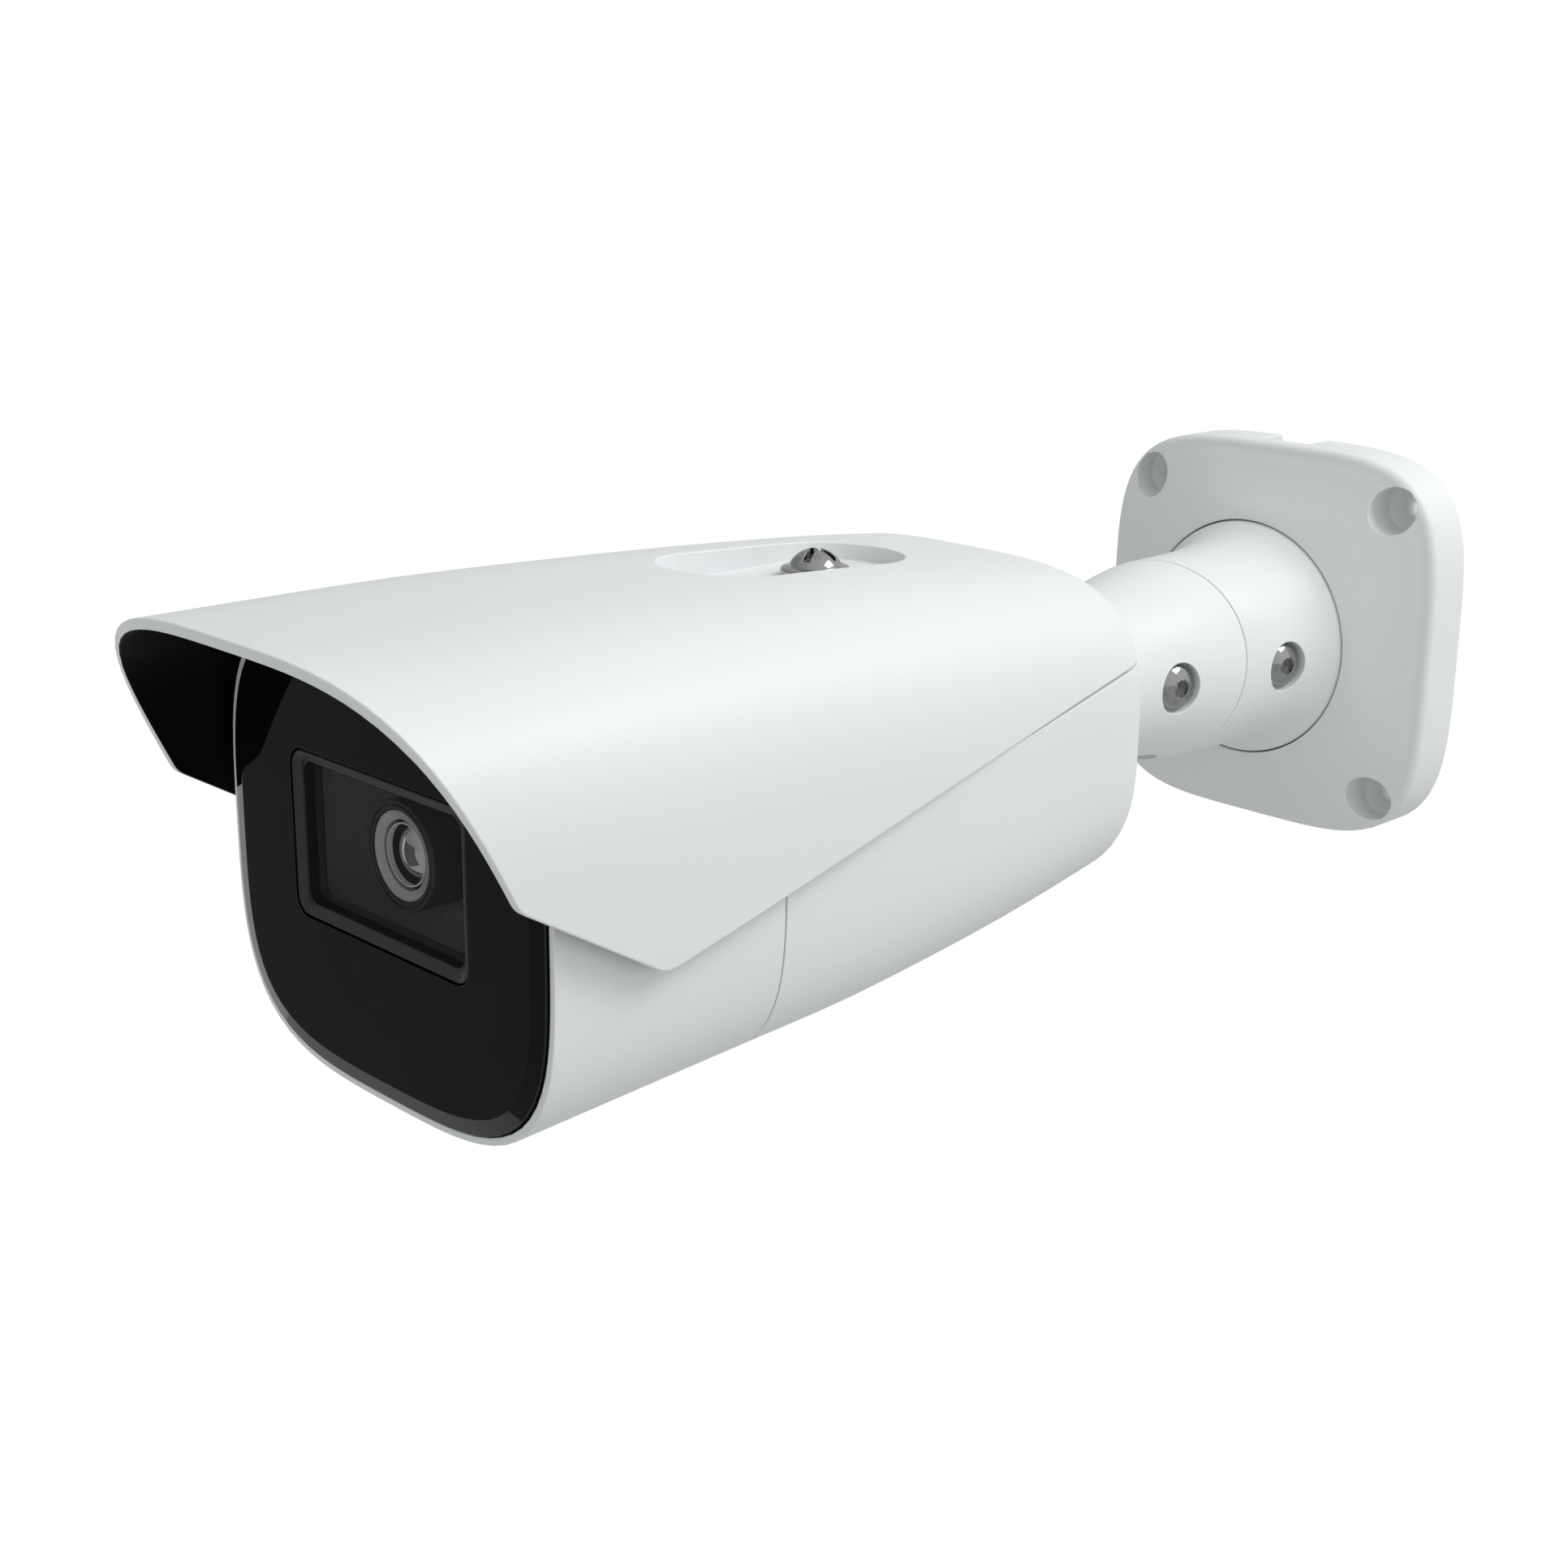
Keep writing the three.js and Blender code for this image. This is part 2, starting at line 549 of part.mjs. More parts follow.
// A lens from its front and back bulges.
function lensGlass(radius, from, to, bulge) {
  const steps = [1, 0.75, 0.5, 0.25, 0];
  const front = steps.map((part) => [radius * part, to + bulge * (1 - part ** 2)]);
  const rear = steps.slice(0, -1).map((part) => [radius * part, from]).reverse();
  return turned([[0, from], ...rear, ...front], SMALL + 4);
}

function lensHolder() {
  const base = solid(block([-12, 12], [215.2, 221], [LENS.z - 12, LENS.z + 12]));
  const tower = solid(barrel(9.6, 220.5, 234, SMALL + 4).translate(0, 0, LENS.z));
  const bore = solid(barrel(7 + GAP, 221.4, 236, SMALL + 4).translate(0, 0, LENS.z));
  const light = solid(barrel(5.4, 210, 230, SMALL + 4).translate(0, 0, LENS.z));
  const slideway = solid(block([-20, 20], [216.6, 219.6], [LENS.z - 6.4, LENS.z + 6.4]));
  const well = solid(block([-6.5, 6.5], [214, 217], [LENS.z - 6, LENS.z + 6]));
  return cut(join(base, tower), bore, light, slideway, well);
}

// The infra-red filter's carriage slides across the light path: it holds the filter and a clear pane.
const CARRIAGE = { half: 11, travel: 8 };
function filterCarriage() {
  const middle = CARRIAGE.travel / 2;
  const plate = solid(block([middle - CARRIAGE.half, middle + CARRIAGE.half], [217, 219.2], [-5.8, 5.8]));
  const opening = (x) => solid(block([x - 3, x + 3], [216, 220], [-3.6, 3.6]));
  return cut(plate, opening(0), opening(CARRIAGE.travel));
}
const filterPane = (x) => block([x - 2.7, x + 2.7], [217.6, 218.6], [-3.3, 3.3]);

function filterMotor() {
  const body = solid(block([12.6, 20], [215.4, 222], [-13, -7]));
  return join(body, solid(barrel(2.2, 222, 224, 12).translate(16.3, 0, -10)));
}

function chassis() {
  const tray = solid(block([-26, 26], [122, 206], [-24.5, -22.5]));
  const front = solid(block([-26, 26], [206, 208.2], [-24.5, 18]));
  const rib = (x) => solid(block([x - 1, x + 1], [124, 207], [-24.5, -17.5]));
  const window = solid(block([-9, 9], [204, 210], [LENS.z - 9, LENS.z + 9]));
  return cut(join(tray, front, rib(-25), rib(25)), window);
}

function heatSink() {
  const base = solid(block([-15, 15], [150, 182], [-10.2, -8]));
  const fins = [-13, -7.8, -2.6, 2.6, 7.8, 13].map((x) => solid(block([x - 0.8, x + 0.8], [150, 182], [-9, 0])));
  return join(base, ...fins);
}

const can = (radius, height) => new THREE.CylinderGeometry(radius, radius, height, 16);

// An infra-red lamp: a square foot with a domed lens, looking forward.
function lamp() {
  const foot = solid(block([-2.6, 2.6], [0, 1.2], [-2.6, 2.6]));
  const dome = solid(turned([[0, 1], [2.3, 1], [2.3, 1.6], [1.9, 2.6], [1.1, 3.2], [0, 3.4]], 16));
  return join(foot, dome);
}

// ---------------------------------------------------------------- the assembly
const camera = new THREE.Group();
const roll = new THREE.Group();
const bracket = new THREE.Group();
camera.add(bracket, roll);

// Adds a named mesh to a group, placed by a position and, where it leans, a quaternion.
function add(group, name, made, look, place = {}) {
  const geometry = made.isBufferGeometry ? made : geometryOf(made);
  const mesh = new THREE.Mesh(geometry, new THREE.MeshStandardMaterial(look));
  mesh.name = name;
  if (place.position) mesh.position.copy(place.position);
  if (place.quaternion) mesh.quaternion.copy(place.quaternion);
  group.add(mesh);
}
const at = (x, station, z) => ({ position: new THREE.Vector3(x, -station, z) });

add(bracket, "wall_plate", wallPlate(), WHITE);
add(bracket, "pan_cup", panCup(), WHITE);
add(bracket, "pan_lock_screw", lockScrew(PAN_LOCK), CHROME, PAN_LOCK);
add(bracket, "neck", neck(), WHITE);
add(bracket, "tilt_lock_screw", lockScrew(TILT_LOCK), CHROME, TILT_LOCK);
add(bracket, "roll_lock_screw", lockScrew(ROLL_LOCK), CHROME, ROLL_LOCK);
add(bracket, "tilt_retainer", tiltRetainer(), STEEL);
add(bracket, "roll_retainer", rollRetainer(), STEEL);
add(bracket, "neck_seal", neckSeal(), RUBBER);
add(bracket, "cable_bush", cableBush(), RUBBER);

add(roll, "rear_housing", rearHousing(), WHITE);
add(roll, "front_housing", frontHousing(), WHITE);
add(roll, "housing_seal", housingSeal(), RUBBER);
add(roll, "sunshield", sunshield(), WHITE);
const screwUp = new THREE.Quaternion().setFromAxisAngle(new THREE.Vector3(1, 0, 0), Math.PI / 2);
const onPocket = { ...at(0, SHIELD_SCREW.station, POCKET.floor), quaternion: screwUp };
add(roll, "sunshield_screw", shieldScrew(), CHROME, onPocket);
add(roll, "sunshield_washer", shieldWasher(), RUBBER, onPocket);
for (const [corner, x, z] of BOSSES)
  add(roll, "housing_screw_" + corner, housingScrew(), STEEL, {
    ...at(x, BOSS.rear - GAP, z),
    quaternion: new THREE.Quaternion(),
  });

add(roll, "front_window", frontWindow(), GLOSS);
add(roll, "window_seal", windowSeal(), RUBBER);
add(roll, "lens_frame", lensFrame(), BLACK);
add(roll, "lens_pane", lensPane(), CLEAR);
add(roll, "lens_barrel", lensBarrel().translate(0, 0, LENS.z), BLACK);
add(roll, "lens_bezel", lensBezel().translate(0, 0, LENS.z), STEEL);
add(roll, "lens_front_glass", lensGlass(5.9, 241.5, 243.2, 2), CLEAR, at(0, 0, LENS.z));
add(roll, "lens_rear_glass", lensGlass(4.9, 226, 229, 1), CLEAR, at(0, 0, LENS.z));
add(roll, "lens_holder", lensHolder(), BLACK);

add(roll, "filter_carriage", filterCarriage(), BLACK, at(0, 0, LENS.z));
add(roll, "filter_glass", filterPane(0), CLEAR, at(0, 0, LENS.z));
add(roll, "clear_glass", filterPane(CARRIAGE.travel), CLEAR, at(0, 0, LENS.z));
add(roll, "filter_motor", filterMotor(), STEEL, at(0, 0, LENS.z));
add(roll, "image_sensor", block([-5.5, 5.5], [213.2, 215], [-4.5, 4.5]), CHIP, at(0, 0, LENS.z));
add(roll, "sensor_board", block([-20, 20], [211.3, 212.9], [-17, 17]), BOARD, at(0, 0, LENS.z));
add(roll, "lamp_board", block([-30, 30], [240.4, 242], [-34, -21]), BOARD);
[-24, -8, 8, 24].forEach((x, i) => add(roll, "lamp_" + (i + 1), lamp(), CLEAR, at(x, 242.3, -27)));

add(roll, "chassis", chassis(), ALLOY);
add(roll, "main_board", block([-23, 23], [128, 202], [-15.6, -14]), BOARD);
add(roll, "processor", block([-9, 9], [157, 175], [-13.7, -11.7]), CHIP);
add(roll, "thermal_pad", block([-9, 9], [157, 175], [-11.4, -10.5]), RUBBER);
add(roll, "heat_sink", heatSink(), ALLOY);
add(roll, "transformer", block([6, 19], [132, 146], [-13.7, -4]), CHIP);
add(roll, "capacitor_left", onTop(can(4, 10), 138, -8.7).translate(-15, 0, 0), STEEL);
add(roll, "capacitor_right", onTop(can(4, 10), 138, -8.7).translate(-4, 0, 0), STEEL);
add(roll, "board_connector", block([-8, 8], [190, 196], [-13.7, -7]), WHITE);

export default camera;
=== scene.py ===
# %% [markdown]
# # A bullet security camera on a three-axis wall bracket
# The real one is a die-cast housing in white powder coat, with a bent sheet sunshield over it,
# a black glass front and a bracket that turns at a cup, at an oblique joint and at the camera.
# The measured model is loaded first and stays where it is. Every piece made here rides on one
# of its bodies, so the camera still turns on its bracket.

# %% Load the measured model
import json
import math

import bmesh
import bpy
from mathutils import Matrix, Vector


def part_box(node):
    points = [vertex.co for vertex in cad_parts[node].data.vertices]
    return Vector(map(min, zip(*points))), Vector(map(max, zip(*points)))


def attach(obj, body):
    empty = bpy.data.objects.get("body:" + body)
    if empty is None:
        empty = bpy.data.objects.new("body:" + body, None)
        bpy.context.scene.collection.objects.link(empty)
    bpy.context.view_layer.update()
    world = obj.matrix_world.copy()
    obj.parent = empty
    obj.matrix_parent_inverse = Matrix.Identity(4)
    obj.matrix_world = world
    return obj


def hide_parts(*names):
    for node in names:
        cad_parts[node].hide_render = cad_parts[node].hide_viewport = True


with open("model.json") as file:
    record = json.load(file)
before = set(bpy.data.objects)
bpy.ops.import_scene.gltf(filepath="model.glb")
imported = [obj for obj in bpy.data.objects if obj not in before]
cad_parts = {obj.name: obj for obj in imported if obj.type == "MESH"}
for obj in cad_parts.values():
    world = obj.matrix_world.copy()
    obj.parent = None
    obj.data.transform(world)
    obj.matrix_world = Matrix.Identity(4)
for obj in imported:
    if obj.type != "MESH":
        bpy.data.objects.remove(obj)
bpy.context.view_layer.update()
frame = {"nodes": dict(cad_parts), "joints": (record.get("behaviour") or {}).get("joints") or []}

# %% [markdown]
# ## Driving sizes
# Sizes are in millimetres, as on a drawing. A place along the camera is a station: its distance
# from the wall, so y is minus the station. Keeping the sizes together means that one edit moves
# everything that depends on it.

# %% Driving sizes
MM = 0.001
AROUND = 96  # vertices round a section
SMALL = 32  # sides of a small bore
REAR, SEAM, FACE, GLASS = 106, 202.5, 250, 251.1  # stations of the body's ends, seam and glass
FACE_HALF, FACE_TOP, FACE_LOW = 44, 36.1, -43.4  # the body's front outline
VISOR_FRONT, VISOR_TOP, VISOR_HALF = 276, 39.1, 48.3
LOFT_END = 284  # the shield's loft runs past its front, and is cut back
SHAPE = 3.48  # exponent of the camera's sections
REAR_ROUND = 9
RIM = 1.2
GAP = 0.3
SKIN = 1.9
CLEAR = 0.4
TOP_FRONT = (VISOR_FRONT, VISOR_TOP)
CORNER = (259.2, 5.2)
TIP = (231.6, -11.2)
TAIL = (106, 17.8)
NECK_ROOM = 18.4
LENS_Z = -1.1
SWIVEL = 53.2

BODY_HALF = [(REAR, 43), (130, 43.2), (SEAM, 43.6), (FACE, FACE_HALF)]
BODY_TOP = [(REAR, 31.8), (130, 33.6), (SEAM, 35.3), (FACE, FACE_TOP)]
BODY_BOTTOM = [
    (REAR, -26.9), (122.4, -30.6), (137.4, -33.6), (152, -36), (166, -37.9),
    (180, -39.4), (195, -40.3), (SEAM, -40.7), (FACE, FACE_LOW),
]
SHIELD_HALF = [(REAR, 43), (130, 43.2), (TIP[0], VISOR_HALF), (VISOR_FRONT, VISOR_HALF)]
SHIELD_TOP = [
    (REAR, 31.8), (112, 32.6), (130.6, 34.5), (150.6, 35.9), (172.4, 37.1),
    (193.4, 38), (213.4, 38.7), (TIP[0], VISOR_TOP), (VISOR_FRONT, VISOR_TOP),
]
SHIELD_BOTTOM = [(REAR, -26.9), (130, -32), (TIP[0], -38.9), (VISOR_FRONT, -38.9)]
low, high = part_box("sunshield")
print("the sunshield is", round((high.y - low.y) / MM, 1), "mm long")

# %% [markdown]
# ## Sections and skins
# Nearly every casting here is a skin through sections: a rounded rectangle on the camera, and a
# round one on the bracket. A section is a superellipse, which is the curve between an ellipse and
# a rectangle. Curves could be lofted too, but a circle whose edge is extruded onto the next
# section keeps neat rings of four-sided faces, which take a smooth highlight. Each vertex
# remembers its turn round the section in a layer, because an extrusion copies it.

# %% Sections
def along(curve, station):
    """A width or height read off a smooth curve through (station, value) points."""
    last = len(curve) - 1
    station = min(max(station, curve[0][0]), curve[last][0])
    after = next(i for i in range(1, last + 1) if station <= curve[i][0])
    slopes = []
    for i in (after - 1, after):
        before, behind = curve[max(i - 1, 0)], curve[min(i + 1, last)]
        slopes.append((behind[1] - before[1]) / (behind[0] - before[0]))
    (start, low), (end, high) = curve[after - 1], curve[after]
    part, span = (station - start) / (end - start), end - start
    ease = part * part * (3 - 2 * part)
    lead = part * (1 - part) ** 2 * span * slopes[0]
    return low + (high - low) * ease + lead - part * part * (1 - part) * span * slopes[1]


def oval(half, top, bottom, station, exponent=SHAPE):
    """A superellipse section across the camera."""
    def place(turn):
        x, z = math.cos(turn), math.sin(turn)
        size = (abs(x) ** exponent + abs(z) ** exponent) ** (-1 / exponent)
        height = (top + bottom) / 2 + (top - bottom) / 2 * z * size
        return Vector((half * x * size, -station, height))
    return place


def loft(sections, around=AROUND):
    """A closed skin through sections, listed from the wall outwards."""
    bm = bmesh.new()
    turn = bm.verts.layers.float.new("turn")
    ring = bmesh.ops.create_circle(bm, segments=around, radius=1)["verts"]
    for vertex in ring:
        vertex[turn] = math.atan2(vertex.co.y, vertex.co.x)
    edges = bm.edges[:]
    for number, section in enumerate(sections):
        if number:
            grown = bmesh.ops.extrude_edge_only(bm, edges=edges)["geom"]
            ring = [part for part in grown if isinstance(part, bmesh.types.BMVert)]
            edges = [part for part in grown if isinstance(part, bmesh.types.BMEdge)]
        for vertex in ring:
            vertex.co = section(vertex[turn])
        if number in (0, len(sections) - 1):
            bmesh.ops.edgeloop_fill(bm, edges=edges)
    bmesh.ops.recalc_face_normals(bm, faces=bm.faces)
    return bm


print("the body is", round(2 * along(BODY_HALF, SEAM), 1), "mm wide at the seam")

# %% [markdown]
# ## Turned pieces, slabs and cuts
# Screws, rings and lenses are turned: a profile of radius and height is spun round an axis, as on
# a lathe. Flat pieces with round corners start as a cube whose four long edges are bevelled.
# Holes and pockets are Boolean cuts, which leave the crisp edge of a milling cutter or a core.

# %% Makers
FORWARD = Matrix.Rotation(math.pi / 2, 4, "X")


def turned(profile, sides=48, place=None):
    """A turned piece from (radius, height) points. One that starts off the axis is closed."""
    bm = bmesh.new()
    points = [bm.verts.new((radius, 0, height)) for radius, height in profile]
    pairs = list(zip(points, points[1:]))
    if profile[0][0] > 0:
        pairs.append((points[-1], points[0]))
    for pair in pairs:
        bm.edges.new(pair)
    bmesh.ops.spin(
        bm, geom=bm.verts[:] + bm.edges[:], cent=(0, 0, 0), axis=(0, 0, 1), dvec=(0, 0, 0),
        angle=math.tau, steps=sides, use_merge=True, use_duplicate=False,
    )
    bmesh.ops.remove_doubles(bm, verts=bm.verts, dist=1e-4)
    bmesh.ops.recalc_face_normals(bm, faces=bm.faces)
    bmesh.ops.transform(bm, matrix=place or Matrix.Identity(4), verts=bm.verts)
    return bm


def barrel(radius, start, end, sides=64, place=None):
    """A round bar along the camera between two stations."""
    return turned([(0, start), (radius, start), (radius, end), (0, end)], sides, place or FORWARD)


def slab(across, stations, heights, corner=0):
    """A block between two x, two stations and two z, its corners rounded as seen from the front."""
    bm = bmesh.new()
    bmesh.ops.create_cube(bm, size=1)
    sizes = [abs(b - a) for a, b in (across, stations, heights)]
    middle = [(a + b) / 2 for a, b in (across, stations, heights)]
    bmesh.ops.scale(bm, vec=sizes, verts=bm.verts)
    bmesh.ops.translate(bm, vec=(middle[0], -middle[1], middle[2]), verts=bm.verts)
    if corner:
        long = [e for e in bm.edges if abs(e.verts[0].co.y - e.verts[1].co.y) > sizes[1] / 2]
        bmesh.ops.bevel(
            bm, geom=long, offset=corner, segments=8, profile=0.5, affect="EDGES", material=-1,
        )
    return bm


def shelled(mesh_name, bm, slots=1):
    """A working object that holds a bmesh for a moment."""
    mesh = bpy.data.meshes.new(mesh_name)
    bm.to_mesh(mesh)
    bm.free()
    for _ in range(slots):
        mesh.materials.append(None)
    holder = bpy.data.objects.new(mesh_name, mesh)
    bpy.context.scene.collection.objects.link(holder)
    return holder


def worked(bm, kind, slots=1, **settings):
    """The bmesh after one modifier is applied."""
    holder = shelled("work", bm, slots)
    modifier = holder.modifiers.new("work", kind)
    for key, value in settings.items():
        setattr(modifier, key, value)
    made = bmesh.new()
    made.from_object(holder, bpy.context.evaluated_depsgraph_get())
    bpy.data.meshes.remove(holder.data)
    return made


def cut(bm, *tools, operation="DIFFERENCE", slots=1):
    """The bmesh with each tool cut out of it, or joined to it. Slots keep a second material."""
    for tool in tools:
        cutter = shelled("tool", tool, slots)
        bm = worked(bm, "BOOLEAN", slots, object=cutter, operation=operation, solver="EXACT")
        bpy.data.meshes.remove(cutter.data)
    bmesh.ops.remove_doubles(bm, verts=bm.verts, dist=0.03)
    return bm


def join(bm, *tools, slots=1):
    """The bmesh with each tool joined to it."""
    return cut(bm, *tools, operation="UNION", slots=slots)


print("a test slab has", len(slab((0, 9), (0, 2), (0, 9), 2).faces), "faces")

# %% [markdown]
# ## Shader sums
# A finish is mostly small sums: a noise times a strength, one minus a mask. Wiring each sum by
# hand hides the idea, so a socket is wrapped in a small class, and Python's own signs add the
# Math nodes. Every other node comes from one method, which takes its type, its settings, and the
# values or links of its sockets.

# %% The shader helper
class Wire:
    """A node's output. Each Python sign on it adds a Math node."""

    def __init__(self, paint, socket):
        self.paint, self.socket = paint, socket

    def sum(self, operation, first, second):
        return self.paint.node("ShaderNodeMath", {"operation": operation}, {0: first, 1: second})

    def __add__(self, other):
        return self.sum("ADD", self, other)

    def __sub__(self, other):
        return self.sum("SUBTRACT", self, other)

    def __rsub__(self, other):
        return self.sum("SUBTRACT", other, self)

    def __mul__(self, other):
        return self.sum("MULTIPLY", self, other)

    __radd__ = __add__
    __rmul__ = __mul__


class Paint:
    """A material, or the world, and its nodes, in the order they are mixed."""

    def __init__(self, name, kind="materials"):
        self.material = getattr(bpy.data, kind).new(name)
        self.material.use_nodes = True
        self.tree = self.material.node_tree
        self.tree.nodes.clear()

    def node(self, kind, settings=None, sockets=None, out=0):
        node = self.tree.nodes.new(kind)
        for key, value in (settings or {}).items():
            if key == "stops":
                ramp = node.color_ramp.elements
                while len(ramp) < len(value):
                    ramp.new(1)
                for stop, (place, color) in zip(ramp, value):
                    stop.position, stop.color = place, color
            else:
                setattr(node, key, value)
        for key, value in (sockets or {}).items():
            if isinstance(value, Wire):
                self.tree.links.new(value.socket, node.inputs[key])
            else:
                node.inputs[key].default_value = value
        return Wire(self, node.outputs[out])

    def place(self, scale=(1, 1, 1), centre=(0, 0, 0), turn=(0, 0, 0)):
        """The point on the piece, in metres, from a centre."""
        point = self.node("ShaderNodeTexCoord", out=3)
        sockets = {"Vector": point, "Location": centre, "Rotation": turn, "Scale": scale}
        return self.node("ShaderNodeMapping", None, sockets)

    def noise(self, size, detail=2, stretch=(1, 1, 1), rough=0.5):
        """A noise whose lumps are about size millimetres across."""
        point = self.place(stretch)
        sockets = {"Vector": point, "Scale": 1 / (size * MM), "Detail": detail, "Roughness": rough}
        return self.node("ShaderNodeTexNoise", None, sockets)

    def blend(self, mask, first, second):
        """A mix of two colours by a mask."""
        sockets = {0: mask, 6: first, 7: second}
        return self.node("ShaderNodeMix", {"data_type": "RGBA"}, sockets, out=2)

    def ramp(self, value, low, high):
        """Nought below low, one above high, and smooth between."""
        settings = {"interpolation_type": "SMOOTHSTEP"}
        return self.node("ShaderNodeMapRange", settings, {"Value": value, 1: low, 2: high})

    def cells(self, scale, stretch=(1, 1, 1)):
        """Distance to the middle of the nearest of many cells, so many to a metre."""
        sockets = {"Vector": self.place(stretch), "Scale": scale}
        return self.node("ShaderNodeTexVoronoi", None, sockets)

    def bump(self, height, depth, strength=1.0):
        """A bump whose height of one stands depth millimetres proud."""
        sockets = {"Height": height, "Distance": depth * MM, "Strength": strength}
        return self.node("ShaderNodeBump", None, sockets)

    def done(self, color, rough, **sockets):
        """The finished surface."""
        names = {"Base Color": color, "Roughness": rough}
        names.update({key.replace("_", " "): value for key, value in sockets.items()})
        shader = self.node("ShaderNodeBsdfPrincipled", None, names)
        output = self.tree.nodes.new("ShaderNodeOutputMaterial")
        self.tree.links.new(shader.socket, output.inputs["Surface"])
        return self.material


print("the shader helper is ready")

# %% [markdown]
# ## White powder coat
# Powder coat is sprayed on dry and melted in an oven. It flows almost flat, but not quite: a fine
# orange peel stays, about a millimetre from lump to lump and a few microns deep. It is satin, a
# little cool in tone, and the sheen is never quite even. A single Principled shader carries it,
# with two noises in the bump for the peel and the dust nibs, and slow ones in colour and gloss.

# %% White powder coat
def powder_coat():
    paint = Paint("white_powder_coat")
    cloud = paint.noise(60, 1)
    peel = paint.noise(1.1, 2)
    nib = paint.ramp(paint.noise(0.45, 1), 0.72, 0.8)
    color = paint.blend(cloud, (0.775, 0.805, 0.808, 1), (0.8, 0.83, 0.833, 1))
    color = paint.blend(nib * 0.25, color, (0.7, 0.73, 0.73, 1))
    rough = 0.36 + paint.noise(14, 3) * 0.12 + peel * 0.06
    normal = paint.bump(peel + nib * 0.4, 0.012, 0.6)
    return paint.done(color, rough, Normal=normal, Specular_IOR_Level=0.45)


WHITE = powder_coat()
print(WHITE.name, "has", len(WHITE.node_tree.nodes), "nodes")

# %% [markdown]
# ## Black finishes
# Four blacks sit side by side and have to look different. The visor's lining is a satin black
# paint that keeps stray light out of the lens, so it has a fine grain and a broad sheen. The
# front glass is black from behind and polished, so it has a coat and only a trace of haze. The
# lens frame is a moulded plastic with a spark-eroded grain, and the seals are matt rubber.

# %% Black finishes
def visor_black():
    paint = Paint("visor_black")
    grain = paint.noise(0.5, 3)
    cloud = paint.noise(30, 2)
    color = paint.blend(cloud, (0.0012, 0.0012, 0.0013, 1), (0.0024, 0.0024, 0.0025, 1))
    rough = 0.34 + grain * 0.16 + cloud * 0.05
    return paint.done(color, rough, Normal=paint.bump(grain, 0.015, 0.6), Specular_IOR_Level=0.14)


def black_glass():
    paint = Paint("front_glass_black")
    haze = paint.ramp(paint.noise(24, 4, rough=0.6), 0.45, 0.75)
    lint = paint.ramp(paint.noise(0.6, 1), 0.79, 0.83)
    color = paint.blend(haze, (0.0024, 0.0025, 0.0026, 1), (0.0036, 0.0037, 0.0038, 1))
    rough = 0.025 + haze * 0.035 + lint * 0.12
    return paint.done(color, rough, Specular_IOR_Level=0.5)


def moulded_black():
    paint = Paint("moulded_black")
    grain = paint.noise(0.35, 2)
    flow = paint.noise(9, 2)
    color = paint.blend(flow, (0.012, 0.0125, 0.013, 1), (0.019, 0.0195, 0.02, 1))
    rough = 0.3 + grain * 0.16 + flow * 0.06
    return paint.done(color, rough, Normal=paint.bump(grain, 0.012, 0.5))


def seal_rubber():
    paint = Paint("seal_rubber")
    bloom = paint.ramp(paint.noise(5, 3), 0.35, 0.8)
    grain = paint.noise(0.4, 3)
    color = paint.blend(bloom, (0.011, 0.011, 0.012, 1), (0.026, 0.026, 0.027, 1))
    return paint.done(color, 0.68 + grain * 0.2, Normal=paint.bump(grain, 0.02, 0.7))


VISOR, GLASS_BLACK, MOULDED, RUBBER = visor_black(), black_glass(), moulded_black(), seal_rubber()
print("black finishes:", ", ".join(m.name for m in (VISOR, GLASS_BLACK, MOULDED, RUBBER)))

# %% [markdown]
# ## Glass of the lens
# Real glass could be a transmission shader, which is slow and noisy behind a second pane. Here
# the window pane is smoked, so a dark surface that is partly transparent reads the same and lets
# the lens show through. A coated lens throws back a crisp split of the bright room and the dark
# card in front of it: a metallic surface under a coat does that, and wipe marks in colour and
# gloss keep it from looking perfect.

# %% Glass of the lens
def smoked_pane():
    paint = Paint("smoked_pane")
    wipe = paint.ramp(paint.noise(6, 3, (1, 1, 0.3)), 0.4, 0.8)
    color = paint.blend(wipe, (0.045, 0.048, 0.047, 1), (0.06, 0.064, 0.062, 1))
    return paint.done(color, 0.05 + wipe * 0.06, Alpha=0.16)


def lens_glass():
    paint = Paint("coated_lens")
    wipe = paint.ramp(paint.noise(2.5, 3), 0.45, 0.8)
    color = paint.blend(wipe, (0.66, 0.67, 0.68, 1), (0.74, 0.75, 0.76, 1))
    return paint.done(color, 0.03 + wipe * 0.05, Metallic=1.0, Coat_Weight=0.6, Coat_Roughness=0.03)


def clear_resin():
    paint = Paint("clear_resin")
    swirl = paint.ramp(paint.noise(1.4, 3), 0.4, 0.8)
    color = paint.blend(swirl, (0.62, 0.66, 0.68, 1), (0.74, 0.78, 0.8, 1))
    return paint.done(color, 0.05 + swirl * 0.07, Alpha=0.42)


def bezel_grey():
    paint = Paint("lens_bezel_grey")
    grain = paint.noise(0.3, 2)
    tone = paint.noise(3, 2)
    color = paint.blend(tone, (0.5, 0.505, 0.51, 1), (0.62, 0.625, 0.63, 1))
    return paint.done(color, 0.2 + grain * 0.1, Normal=paint.bump(grain, 0.004, 0.4), Metallic=0.25)


PANE, LENS_GLASS, RESIN, BEZEL = smoked_pane(), lens_glass(), clear_resin(), bezel_grey()
print("glass finishes:", ", ".join(m.name for m in (PANE, LENS_GLASS, RESIN, BEZEL)))

# %% [markdown]
# ## Metals
# Chrome is a mirror with tiny polishing scratches, zinc plate is brighter and greyer in patches
# where its crystals grew, and a die casting that was never painted is grainy. The scratches on
# the screws are a noise squeezed in one direction.

